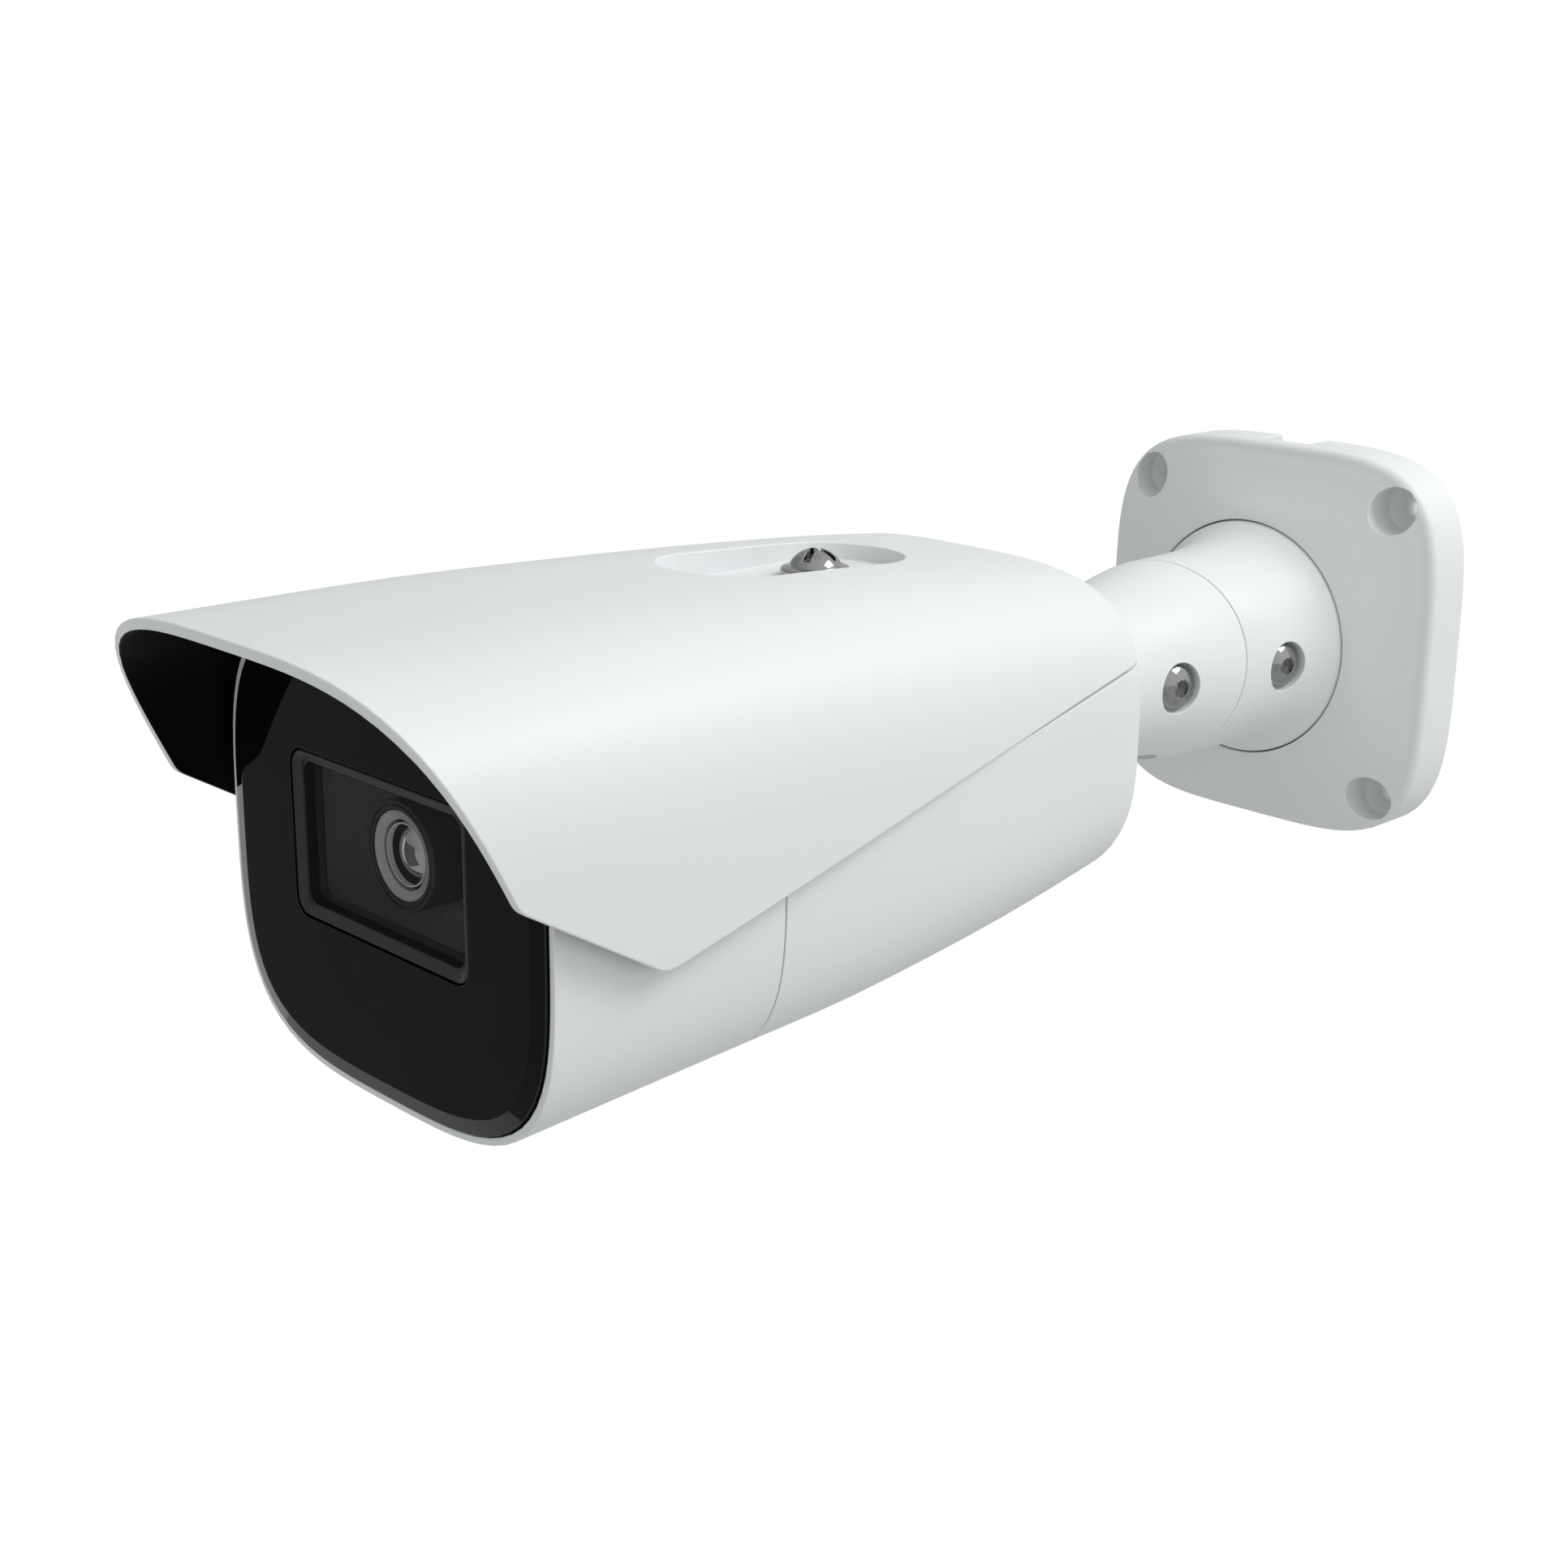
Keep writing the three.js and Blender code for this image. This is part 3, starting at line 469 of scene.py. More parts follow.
# %% Metals
def polished_chrome():
    paint = Paint("polished_chrome")
    line = paint.noise(0.25, 2, (1, 1, 0.08))
    tarnish = paint.ramp(paint.noise(2.2, 3), 0.5, 0.8)
    color = paint.blend(tarnish, (0.36, 0.363, 0.37, 1), (0.25, 0.252, 0.255, 1))
    rough = 0.06 + line * 0.06 + tarnish * 0.06
    return paint.done(color, rough, Metallic=1.0, Normal=paint.bump(line, 0.003, 0.4))


def zinc_plate():
    paint = Paint("zinc_plate")
    spangle = paint.cells(900.0)
    cloud = paint.noise(3, 3)
    color = paint.blend(spangle, (0.42, 0.43, 0.44, 1), (0.6, 0.61, 0.62, 1))
    normal = paint.bump(spangle, 0.005, 0.4)
    return paint.done(color, 0.26 + cloud * 0.2, Metallic=1.0, Normal=normal)


def cast_alloy():
    paint = Paint("cast_alloy")
    grain = paint.noise(0.6, 4)
    flow = paint.noise(12, 2)
    color = paint.blend(flow, (0.46, 0.465, 0.47, 1), (0.58, 0.585, 0.59, 1))
    return paint.done(color, 0.4 + grain * 0.22, Metallic=0.9, Normal=paint.bump(grain, 0.03, 0.6))


CHROME, ZINC, ALLOY = polished_chrome(), zinc_plate(), cast_alloy()
print("metals:", ", ".join(m.name for m in (CHROME, ZINC, ALLOY)))

# %% [markdown]
# ## Finishes of the works inside
# The electronics are rarely seen, but a part that is taken apart shows them. A circuit board is
# green solder mask over copper tracks, which stand a little proud: a brick pattern, stretched,
# gives the long tracks. Chips are a matt epoxy with a faint grain, and connectors are nylon.

# %% Finishes of the works inside
def circuit_board():
    paint = Paint("circuit_board")
    flat_on = paint.place((1, 1, 0))
    sockets = {"Vector": flat_on, "Scale": 330.0, "Mortar Size": 0.09, "Brick Width": 2.6}
    tracks = paint.node("ShaderNodeTexBrick", {"offset": 0.37, "squash": 1.0}, sockets, out=1)
    weave = paint.noise(0.8, 2)
    pad = paint.cells(260.0, (1, 1, 0))
    color = paint.blend(tracks, (0.012, 0.085, 0.03, 1), (0.03, 0.17, 0.06, 1))
    color = paint.blend(1 - paint.ramp(pad, 0.13, 0.17), color, (0.5, 0.47, 0.36, 1))
    rough = 0.32 + weave * 0.14
    return paint.done(color, rough, Normal=paint.bump(tracks, 0.04, 0.8))


def chip_epoxy():
    paint = Paint("chip_epoxy")
    grain = paint.noise(0.25, 3)
    cloud = paint.noise(5, 1)
    color = paint.blend(cloud, (0.014, 0.0145, 0.0155, 1), (0.024, 0.0245, 0.026, 1))
    return paint.done(color, 0.42 + grain * 0.2, Normal=paint.bump(grain, 0.01, 0.6))


def connector_nylon():
    paint = Paint("connector_nylon")
    grain = paint.noise(0.4, 2)
    flow = paint.noise(6, 2)
    color = paint.blend(flow, (0.66, 0.65, 0.59, 1), (0.76, 0.75, 0.7, 1))
    return paint.done(color, 0.4 + grain * 0.15, Normal=paint.bump(grain, 0.01, 0.5))


FINISH = {
    "white_metal": WHITE, "gloss_black": GLASS_BLACK, "black_plastic": MOULDED,
    "clear_glass": RESIN, "chrome": CHROME, "steel": ZINC, "alloy": ALLOY, "rubber": RUBBER,
    "circuit_board": circuit_board(), "chip": chip_epoxy(), "white_plastic": connector_nylon(),
}
for node in frame["nodes"].values():
    for slot in node.material_slots:
        slot.material = FINISH[slot.material.name]
print("finished", len(frame["nodes"]), "carried-over nodes with", len(FINISH), "finishes")

# %% [markdown]
# ## Finishing a piece
# A modelled piece is turned from millimetres into metres, shaded smooth, and given a small bevel:
# nothing cast or pressed has a knife edge, and it is the bevel that catches the light. Harden
# Normals keeps the large faces flat beside it. A Boolean leaves some edges shorter than the bevel
# is wide, which would throw up spikes. So the short ones are welded away first: a vertex on a
# plain face goes to one on a crisp line, and that one goes to a corner.

# %% Finishing a piece
FINE = 0.15  # a bevel this small needs no settling


def settle(bm, reach, angle):
    """Welds away edges too short to bevel. Corners stay, and crisp lines keep their course."""
    for _ in range(4):
        crisp = {e for e in bm.edges if not e.is_manifold or e.calc_face_angle(0) > angle}
        lines = {v: sum(e in crisp for e in v.link_edges) for v in bm.verts}
        rank = {v: {0: 0, 2: 1}.get(count, 2) for v, count in lines.items()}
        short = [e for e in bm.edges if e.calc_length() < reach]
        short.sort(key=lambda e: e.calc_length())
        moves, used = {}, set()
        for edge in short:
            low, high = sorted(edge.verts, key=rank.get)
            if low in used or high in used or rank[low] == 2 or (rank[low] and edge not in crisp):
                continue
            moves[low] = high
            used.update((low, high))
        if not moves:
            break
        bmesh.ops.weld_verts(bm, targetmap=moves)


def finish(name, bm, body, nodes, finishes, edge=0.3, angle=32):
    """Makes the object, lets it ride on its body, and hides the nodes that it stands for."""
    if edge > FINE:
        settle(bm, edge * 1.2, math.radians(angle))
    bmesh.ops.scale(bm, vec=(MM, MM, MM), verts=bm.verts)
    for face in bm.faces:
        face.smooth = True
    mesh = bpy.data.meshes.new(name)
    bm.to_mesh(mesh)
    bm.free()
    for material in finishes:
        mesh.materials.append(material)
    mesh.set_sharp_from_angle(angle=math.radians(angle))
    piece = bpy.data.objects.new(name, mesh)
    bpy.context.scene.collection.objects.link(piece)
    if edge:
        bevel = piece.modifiers.new("edge", "BEVEL")
        bevel.width, bevel.segments, bevel.profile = edge * MM, 2, 0.5
        bevel.limit_method, bevel.angle_limit = "ANGLE", math.radians(angle)
        bevel.use_clamp_overlap, bevel.harden_normals, bevel.loop_slide = False, True, False
    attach(piece, body)
    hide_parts(*nodes)
    print(name, "has", len(mesh.polygons), "faces")
    return piece


# %% [markdown]
# ## The sunshield
# The visor is a thin pressed shell: flush with the body at the back, and flaring clear of it
# towards the front. It could be subdivided from a box, but its sections are known, so its outer
# skin is a loft. Its side view is cut by planes: the raked front edge, the lower edge, and the
# long diagonal to the tail. The shape kept is convex, so a corner is rounded by a few more
# planes that lean from one edge to the next.

# %% The sunshield's side view
CORNER_RADIUS, TIP_RADIUS = 5, 6
TURNS = 6  # steps in which one edge turns into the next


def drawn(station):
    """How far the rounded back edge draws a section in."""
    into = REAR_ROUND - min(REAR_ROUND, station - REAR)
    return REAR_ROUND - math.sqrt(REAR_ROUND ** 2 - into ** 2)


def side_planes(margin=0.0):
    """The planes round the shield's side view, moved out by a margin: a point and a direction."""
    points = [TOP_FRONT, CORNER, TIP, TAIL]
    outward = []
    for (s0, z0), (s1, z1) in zip(points, points[1:]):
        outward.append(Vector((z0 - z1, s1 - s0)).normalized())
    planes = [(Vector(point), way) for point, way in zip(points, outward)]
    for corner, first, second, radius in (
        (Vector(CORNER), *outward[:2], CORNER_RADIUS), (Vector(TIP), *outward[1:], TIP_RADIUS),
    ):
        centre = corner - radius * (first + second) / (1 + first.dot(second))
        for step in range(1, TURNS):
            way = first.slerp(second, step / TURNS)
            planes.append((centre + radius * way, way))
    return [
        (Vector((0, -(p.x + margin * w.x), p.y + margin * w.y)), Vector((0, -w.x, w.y)))
        for p, w in planes
    ]


def trim(bm, planes, fill=False):
    """Cuts away what lies outside each plane."""
    for point, way in planes:
        found = bmesh.ops.bisect_plane(
            bm, geom=bm.verts[:] + bm.edges[:] + bm.faces[:], plane_co=point, plane_no=way,
            clear_outer=True, dist=1e-4,
        )
        if fill:
            edges = [part for part in found["geom_cut"] if isinstance(part, bmesh.types.BMEdge)]
            bmesh.ops.edgeloop_fill(bm, edges=edges)


print(len(side_planes()), "planes cut the side view")

# %% [markdown]
# The skin itself is lofted with close sections round the back edge, then trimmed. Solidify gives
# the sheet its thickness and puts the lining's black on the inner faces. The pocket in the top is
# pressed down in the real one: a dish is joined underneath, and its hollow is milled out. Its
# floor carries the screw, and the back leaves room for the neck.

# %% The sunshield's skin
back_arc = [REAR + REAR_ROUND * (1 - math.cos(math.radians(angle))) for angle in range(0, 91, 10)]


def spread(start, end, count):
    """Evenly spaced values after a start, up to and with an end."""
    return [start + (end - start) * i / count for i in range(1, count + 1)]


def shield_form(inset, stations):
    """The shield's outer form, or the same form drawn in by an inset."""
    sections = []
    for station in stations:
        less = drawn(station) + inset
        top, bottom = along(SHIELD_TOP, station) - less, along(SHIELD_BOTTOM, station) + less
        sections.append(oval(along(SHIELD_HALF, station) - less, top, bottom, station + inset))
    return loft(sections)


def stadium(centre, half, width, margin, bottom, top):
    """A long round-ended block standing up from a floor."""
    bm = bmesh.new()
    bmesh.ops.create_circle(bm, segments=46, radius=width + margin, cap_ends=True)
    for side in (-1, 1):
        end = [v for v in bm.verts if v.co.y * side > 0]
        bmesh.ops.translate(bm, vec=(0, side * (half - width), 0), verts=end)
    wall = bmesh.ops.extrude_face_region(bm, geom=bm.faces[:])["geom"]
    lid = [part for part in wall if isinstance(part, bmesh.types.BMVert)]
    bmesh.ops.translate(bm, vec=(0, 0, 1), verts=lid)
    for vertex in bm.verts:
        station = centre - vertex.co.y
        vertex.co = (vertex.co.x, -station, top(station) if vertex.co.z > 0.5 else bottom)
    bmesh.ops.recalc_face_normals(bm, faces=bm.faces)
    return bm


POCKET = {"centre": 162.4, "half": 26, "width": 12.7}
FLOOR = 32  # height of the pocket's floor
SCREW_AT = 154.2
SCREW_HOLE = 2.6
ABOVE = 60  # clear above the whole camera


def upright(radius, bottom, top):
    """A round bar standing under the sunshield's screw."""
    place = Matrix.Translation((0, -SCREW_AT, 0))
    return turned([(0, bottom), (radius, bottom), (radius, top), (0, top)], SMALL, place)


def sunshield():
    """The pressed shell with its pocket, its screw hole and the room for the neck."""
    skin = shield_form(0, back_arc + spread(REAR + REAR_ROUND, LOFT_END, 26))
    trim(skin, side_planes())
    shell = worked(
        skin, "SOLIDIFY", 2, thickness=SKIN, offset=-1, use_even_offset=True,
        material_offset=1, material_offset_rim=0,
    )
    dish = stadium(
        **POCKET, margin=SKIN, bottom=FLOOR - SKIN, top=lambda s: along(SHIELD_TOP, s) - 0.9,
    )
    for face in dish.faces:
        face.material_index = 1
    shell = join(shell, dish, slots=2)
    milled = stadium(**POCKET, margin=0, bottom=FLOOR, top=lambda s: ABOVE)
    neck_room = barrel(NECK_ROOM, REAR - 2, REAR + 5, AROUND)
    return cut(shell, milled, upright(SCREW_HOLE, 20, ABOVE), neck_room, slots=2)


finish("sunshield_shell", sunshield(), "camera", ["sunshield"], [WHITE, VISOR], 0.35)

# %% [markdown]
# ## The housing
# The body is two castings that meet at a fine seam. Below the shield's edge they are flush with
# it. Above, they step down so that the shield lies over them. So the whole form is lofted first,
# the shield's reach is taken off it all round except for what lies under the shield, and the
# form is then parted at the seam. Each half is hollow, with bosses for the screws that hold them.

# %% The housing
SEAM_HOLLOW = (40.6, 32.3, -37.7)
CAVITY = [
    (REAR + 4.4, 30, 22, -19, 3), (REAR + 8, 36, 26, -23.5, 3.3), (124, 39.6, 28, -28.5, 3.5),
    (152, 40.2, 28.5, -33, SHAPE), (180, 40.5, 28.5, -36.4, SHAPE),
    (195.5, 40.6, 28.5, -37.6, SHAPE), (198.5, *SEAM_HOLLOW, SHAPE),
    (225, 40.8, 32.6, -38.6, SHAPE), (243, 40.8, 32.8, -40, SHAPE),
]
BOSSES = [(x, z) for x in (-31.5, 31.5) for z in (-30.5, 24.5)]
BOSS, PILOT = 4.4, 1.7
RIM_DEPTH, THROAT = 245.6, 4.6  # where the glass's seat starts, and how far in its throat is


def body_blank():
    """The whole body, let down under the shield."""
    sections = []
    for station in back_arc + spread(REAR + REAR_ROUND, SEAM, 10) + spread(SEAM, FACE, 6):
        less = drawn(station)
        top, bottom = along(BODY_TOP, station) - less, along(BODY_BOTTOM, station) + less
        sections.append(oval(along(BODY_HALF, station) - less, top, bottom, station))
    blank = loft(sections)
    under = shield_form(SKIN + CLEAR, back_arc + spread(REAR + REAR_ROUND, LOFT_END, 16))
    reach = slab((-70, 70), (REAR - 8, 290), (-60, 60))
    trim(reach, side_planes(CLEAR), fill=True)
    bmesh.ops.recalc_face_normals(reach, faces=reach.faces)
    dish = stadium(
        **POCKET, margin=SKIN + CLEAR, bottom=FLOOR - SKIN - CLEAR, top=lambda s: ABOVE,
    )
    covered = cut(reach, under, barrel(NECK_ROOM - CLEAR, REAR - 2, REAR + 5, AROUND))
    return cut(blank, covered, dish)


def bosses(radius, start, end):
    """Four bars where the housing's screws go, for joining or cutting."""
    bars = bmesh.new()
    for x, z in BOSSES:
        bar = barrel(radius, start, end, SMALL, Matrix.Translation((x, 0, z)) @ FORWARD)
        mesh = bpy.data.meshes.new("bar")
        bar.to_mesh(mesh)
        bar.free()
        bars.from_mesh(mesh)
        bpy.data.meshes.remove(mesh)
    return bars


def cavity(front_end):
    """The hollow of one half of the housing."""
    rings = CAVITY[7:] if front_end else CAVITY[:7]
    sections = [oval(*size, station, exponent) for station, *size, exponent in rings]
    if front_end:
        sections.insert(0, oval(*SEAM_HOLLOW, SEAM - 1))
    else:
        sections.append(oval(*SEAM_HOLLOW, SEAM + 1))
    return loft(sections)


def front_opening(inset, start, end):
    """The outline of the camera's face, drawn in, as a block."""
    half, top, low = FACE_HALF - inset, FACE_TOP - inset, FACE_LOW + inset
    return loft([oval(half, top, low, station) for station in (start, end)])


def rear_housing():
    """The long rear casting, with the stem for the sunshield's screw."""
    half = cut(body_blank(), slab((-70, 70), (SEAM - GAP / 2, 300), (-60, 60)))
    half = cut(half, cavity(False), barrel(12.4, REAR - 2, REAR + 10))
    half = cut(join(half, upright(5, 19.4, 29.4)), upright(2.2, 20, 40))
    half = join(half, bosses(BOSS, 190, SEAM - GAP / 2))
    return cut(half, bosses(PILOT, 189, SEAM + 1))


def front_housing():
    """The front casting, with its rim round the glass."""
    half = cut(body_blank(), slab((-70, 70), (90, SEAM + GAP / 2), (-60, 60)))
    seat = front_opening(RIM, RIM_DEPTH, FACE + 1)
    half = cut(half, cavity(True), front_opening(THROAT, 240, 248), seat)
    half = join(half, bosses(BOSS, SEAM + GAP / 2, 214))
    return cut(half, bosses(PILOT, SEAM - 1, 212))


finish("rear_casting", rear_housing(), "camera", ["rear_housing"], [WHITE], 0.18)
finish("front_casting", front_housing(), "camera", ["front_housing"], [WHITE], 0.18)

# %% [markdown]
# ## The front glass
# The black glass fills the camera's face. A ground edge slopes back all round it: seen at a low
# angle, that narrow slope mirrors the bright surroundings, while the flat face mirrors the dark.
# The face of the slab is inset and pushed forward, which makes the ground edge in one step.

# %% The front glass
GLASS_BACK = 246.9
WINDOW_HALF, WINDOW_LOW, WINDOW_TOP = 24.1, -15.9, 13.4
GROUND_WIDTH, GROUND_DROP = 2.9, 0.62
BEHIND, BEYOND = 240, 260  # stations that a cut through the front starts and ends at


def window(less, stations, corner):
    """A block with the outline of the lens window, drawn in."""
    half = WINDOW_HALF - less
    return slab((-half, half), stations, (WINDOW_LOW + less, WINDOW_TOP - less), corner)


def front_glass():
    """The black pane with its ground edge and the opening of the lens window."""
    pane = front_opening(RIM + GAP, GLASS_BACK, GLASS - GROUND_DROP)
    face = min(pane.faces, key=lambda f: f.calc_center_median().y)
    bmesh.ops.inset_region(
        pane, faces=[face], thickness=GROUND_WIDTH, depth=GROUND_DROP, use_even_offset=True,
    )
    bmesh.ops.recalc_face_normals(pane, faces=pane.faces)
    return cut(pane, window(0, (BEHIND, BEYOND), 3.4))


finish(
    "front_glass", front_glass(), "camera", ["front_window"], [GLASS_BLACK], 0.12, 6,
)

# %% [markdown]
# ## The lens frame and its pane
# A moulded frame is set into the glass: a narrow lip, a slope down, a deep step, and then the
# smoked pane. The lip and the slope are insets of a rounded slab, which keeps the corners true.

# %% The lens frame and its pane
LIP_WIDTH, LIP_RISE = 0.3, 0.2
SLOPE_WIDTH, SLOPE_DROP = 1.4, 1.0
WALL, LEDGE = 2.3, 3.2  # how far in the dark wall and the ledge under the pane stand
LEDGE_AT = 247.6


def lens_frame():
    """The frame, with a wall down to the pane and a ledge behind it."""
    rim = window(GAP, (GLASS_BACK, GLASS - 0.3), 3.2)
    face = min(rim.faces, key=lambda f: f.calc_center_median().y)
    for thickness, depth in ((LIP_WIDTH, LIP_RISE), (SLOPE_WIDTH, -SLOPE_DROP)):
        bmesh.ops.inset_region(
            rim, faces=[face], thickness=thickness, depth=depth, use_even_offset=True,
        )
    return cut(rim, window(WALL, (LEDGE_AT, BEYOND), 2.4), window(LEDGE, (BEHIND, BEYOND), 2))


frame_form = lens_frame()
finish(
    "lens_frame_moulding", frame_form, "camera", ["lens_frame"], [MOULDED], 0.12,
)
pane = window(WALL + 0.2, (LEDGE_AT + 0.1, LEDGE_AT + 0.7), 2.2)
finish("lens_window", pane, "camera", ["lens_pane"], [PANE], 0.08)

# %% [markdown]
# ## The lens
# Behind the pane sits the lens: a ribbed black barrel, a grey bezel ring that slopes inwards, a
# dark step, a hair-thin ring in white paint that is a painted highlight on the glass, and the
# front element. All of them are turned, so each is a short profile. The element is a shallow
# dome, drawn as an arc rather than as a list of points.

# %% The lens
lens_place = Matrix.Translation((0, 0, LENS_Z)) @ FORWARD


def dome(radius, base, rise, steps=10):
    """The points of a shallow dome from its rim to its crown."""
    parts = [1 - step / steps for step in range(steps + 1)]
    return [(radius * part, base + rise * (1 - part ** 2)) for part in parts]


barrel_profile = [
    (5.2, 222), (7, 222), (7, 236.6), (9.4, 238), (9.4, 246.2), (9.2, 246.5), (8.8, 246.5),
    (8.6, 246.1), (8.4, 246.1), (8.2, 246.4), (7.8, 246.4), (7.7, 246), (7.7, 243), (6.2, 243),
    (6.2, 240.6), (5.2, 240),
]
bezel_profile = [
    (5.9, 244.2), (7.5, 244.2), (7.6, 245.8), (7.5, 246.2), (7.2, 246.25), (5.9, 245.5),
]
# A hair-thin ring in white powder coat in front of the element: a painted highlight, standing in
# for the glint on the lens.
highlight_ring_profile = [(5.1, 244.4), (5.32, 244.4), (5.32, 245.3), (5.1, 245.3)]
element_profile = [(0, 241.5), (5.8, 241.5), (5.8, 243), *dome(5, 243.2, 2.2)]
for name, profile, sides, node, slot, material in (
    ("lens_tube", barrel_profile, 72, "lens_barrel", "black_plastic", MOULDED),
    ("lens_ring", bezel_profile, 72, "lens_bezel", "steel", BEZEL),
    # The white ring below is a painted highlight, not a part of the lens.
    ("lens_hair_ring", highlight_ring_profile, 72, "lens_bezel", "steel", WHITE),
    ("lens_element", element_profile, 64, "lens_front_glass", "clear_glass", LENS_GLASS),
):
    finish(name, turned(profile, sides, lens_place), "camera", [node], [material], 0)

# %% [markdown]
# ## The wall plate
# The plate is a square casting with swollen sides that domes up to a round seat for the cup. Its
# sections run from a rounded square to a circle, so both the size and the exponent follow a
# curve. Wells for the four wall screws have a wide bore, a cone and a small hole, and a notch in
# the upper edge lets a surface cable out.

# %% The wall plate
PLATE, CORNERS = 42.9, 4.1  # half its width, and the exponent of its outline
SIDE_END, SHOULDER = 10.5, 2  # where the side ends in a rounded shoulder
CUP_SEAT = 26.45
WALL_SCREW = 32  # how far off the middle each wall screw is, both ways
WELL_SIDES = 40
DOME = [(41.4, 12.6), (36.8, 14.6), (31.6, 17.4), (28.2, 19.4), (25, 20.2)]
SQUARENESS = [(25, 2), (28.2, 2), (31.6, 2.7), (36.8, 3.4), (41.4, CORNERS), (PLATE, CORNERS)]


def plate_blank():
    """The solid form of the plate, from the wall to the crown of its dome."""
    def square(half, station, exponent=CORNERS):
        return oval(half, half, -half, station, exponent)
    inner = PLATE - SHOULDER
    sections = [square(PLATE, 0), square(PLATE, 5)]
    for angle in range(0, 91, 15):
        lean = math.radians(angle)
        half, station = inner + SHOULDER * math.cos(lean), SIDE_END + SHOULDER * math.sin(lean)
        sections.append(square(half, station))
    rising = [(-half, station) for half, station in DOME]
    for half in spread(inner - 0.2, DOME[-1][0], 15):
        sections.append(square(half, along(rising, -half), along(SQUARENESS, half)))
    return loft(sections, 128)


def wall_plate():
    """The plate with its seat and post, the hollow behind, the cable's ways and the wells."""
    plate = cut(plate_blank(), barrel(CUP_SEAT, 17, 30, AROUND), barrel(31, -1, 9, AROUND))
    post = turned([
        (6, 8), (13, 8), (13, 30.6), (11.8, 31.4), (11.8, 33.4), (13, 34.2), (13, 37), (6, 37),
    ], 64, FORWARD)
    plate = cut(join(plate, post), barrel(9, -1, 50), slab((-6, 6), (-1, 8), (20, 60)))
    well = [(0, -1), (2.4, -1), (2.4, 4.4), (5.05, 7), (5.05, 24), (0, 24)]
    for x in (-WALL_SCREW, WALL_SCREW):
        for z in (-WALL_SCREW, WALL_SCREW):
            plate = cut(plate, turned(well, WELL_SIDES, Matrix.Translation((x, 0, z)) @ FORWARD))
    return plate


plate = wall_plate()
finish("bracket_plate_casting", plate, "bracket_plate", ["wall_plate"], [WHITE], 0.3)

# %% [markdown]
# ## The cup and the neck
# The cup stands in the plate's seat, and the neck meets it at a plane that leans, so turning the
# neck about that leaning axis bends the arm. Sections of one smooth horn, each turned a little
# further towards the leaning plane, carry the form through the seam without a step.

# %% The leaning joint
tilt = next(joint for joint in frame["joints"] if joint["name"] == "tilt")
AXIS = Vector(tilt["axis"])
LEANING = Vector((0, -1, 0)).rotation_difference(AXIS)
ON_SWIVEL = Matrix.Translation((0, -SWIVEL, 0)) @ LEANING.to_matrix().to_4x4() @ FORWARD


def leaning(radius, station, part):
    """A round section turned part of the way towards the leaning plane."""
    turn = Matrix.Identity(3).to_quaternion().slerp(LEANING, min(max(part, 0), 1))
    centre = Vector((0, -station, 0))
    def place(angle):
        return centre + turn @ Vector((radius * math.cos(angle), 0, radius * math.sin(angle)))
    return place


def horn(radii, leans, stations):
    """A skin whose radius and lean both follow a curve."""
    return loft([
        leaning(along(radii, station), station, along(leans, station)) for station in stations
    ])


def swivel_bar(radius, start, end):
    """A round bar along the leaning axis, measured from the leaning plane."""
    return turned([(0, start), (radius, start), (radius, end), (0, end)], 64, ON_SWIVEL)


print("the joint leans by", round(math.degrees(LEANING.angle), 1), "degrees")

# %% [markdown]
# ## Where the lock screws go
# Three screws clamp the bracket's joints, square to its surface and so leaning forward with it.
# Each has a matrix for its place, so one upright well and one upright screw serve all three.

# %% Where the lock screws go
LOCK_LEAN = 10
WELL_RADIUS, WELL_DEPTH, SHANK_HOLE = 5.4, 3, 2.3


def lock_place(radius, station, around):
    """Where a lock screw sits: its Z axis points out of the surface and leans forward."""
    turn = math.radians(around)
    spot = Vector((radius * math.cos(turn), -station, radius * math.sin(turn)))
    out = Vector((math.cos(turn), -math.tan(math.radians(LOCK_LEAN)), math.sin(turn)))
    aim = Vector((0, 0, 1)).rotation_difference(out).to_matrix().to_4x4()
    return Matrix.Translation(spot) @ aim


LOCKS = {
    "pan": lock_place(22, 33.2, -2),
    "tilt": lock_place(19, 66.4, -2),
    "roll": lock_place(19.7, 62.8, -78),
}
LOCK_DEPTH = {"pan": 8.4, "tilt": 7.6, "roll": 7.6}


def lock_well(place):
    """The stepped hole of a lock screw."""
    return turned([
        (0, -20), (SHANK_HOLE, -20), (SHANK_HOLE, -WELL_DEPTH), (WELL_RADIUS, -WELL_DEPTH),
        (WELL_RADIUS, 8), (0, 8),
    ], 48, place)


print(len(LOCKS), "lock screws")

# %% [markdown]
# ## The two castings
# The cup is hollow for the plate's post. The neck is sliced off at the leaning plane, and has a
# spigot at each end: one turns in the cup, the other in the back of the camera. A groove in its
# end face holds the seal.

# %% The two castings
NECK_END, BORE, SPIGOT = 105.7, 9, 12
CUP_RADIUS = [
    (17.3, 26.1), (19.6, 26.1), (20.3, 25.7), (21.6, 24.7), (24.2, 23.6), (28, 22.6),
    (33.5, 22), (40, 21.7), (46.6, 21.6), (SWIVEL, 21.5),
]
CUP_LEAN = [(17.3, 0), (28, 0), (33.5, 0.04), (40, 0.3), (46.6, 0.66), (SWIVEL, 1)]
NECK_RADIUS = [
    (SWIVEL, 21.5), (60, 20.4), (67, 19), (74, 17.8), (86, 17), (100, 16.6), (NECK_END, 16.5),
]
NECK_LEAN = [(SWIVEL, 1), (60, 0.6), (67, 0.25), (74, 0.03), (86, 0), (NECK_END, 0)]


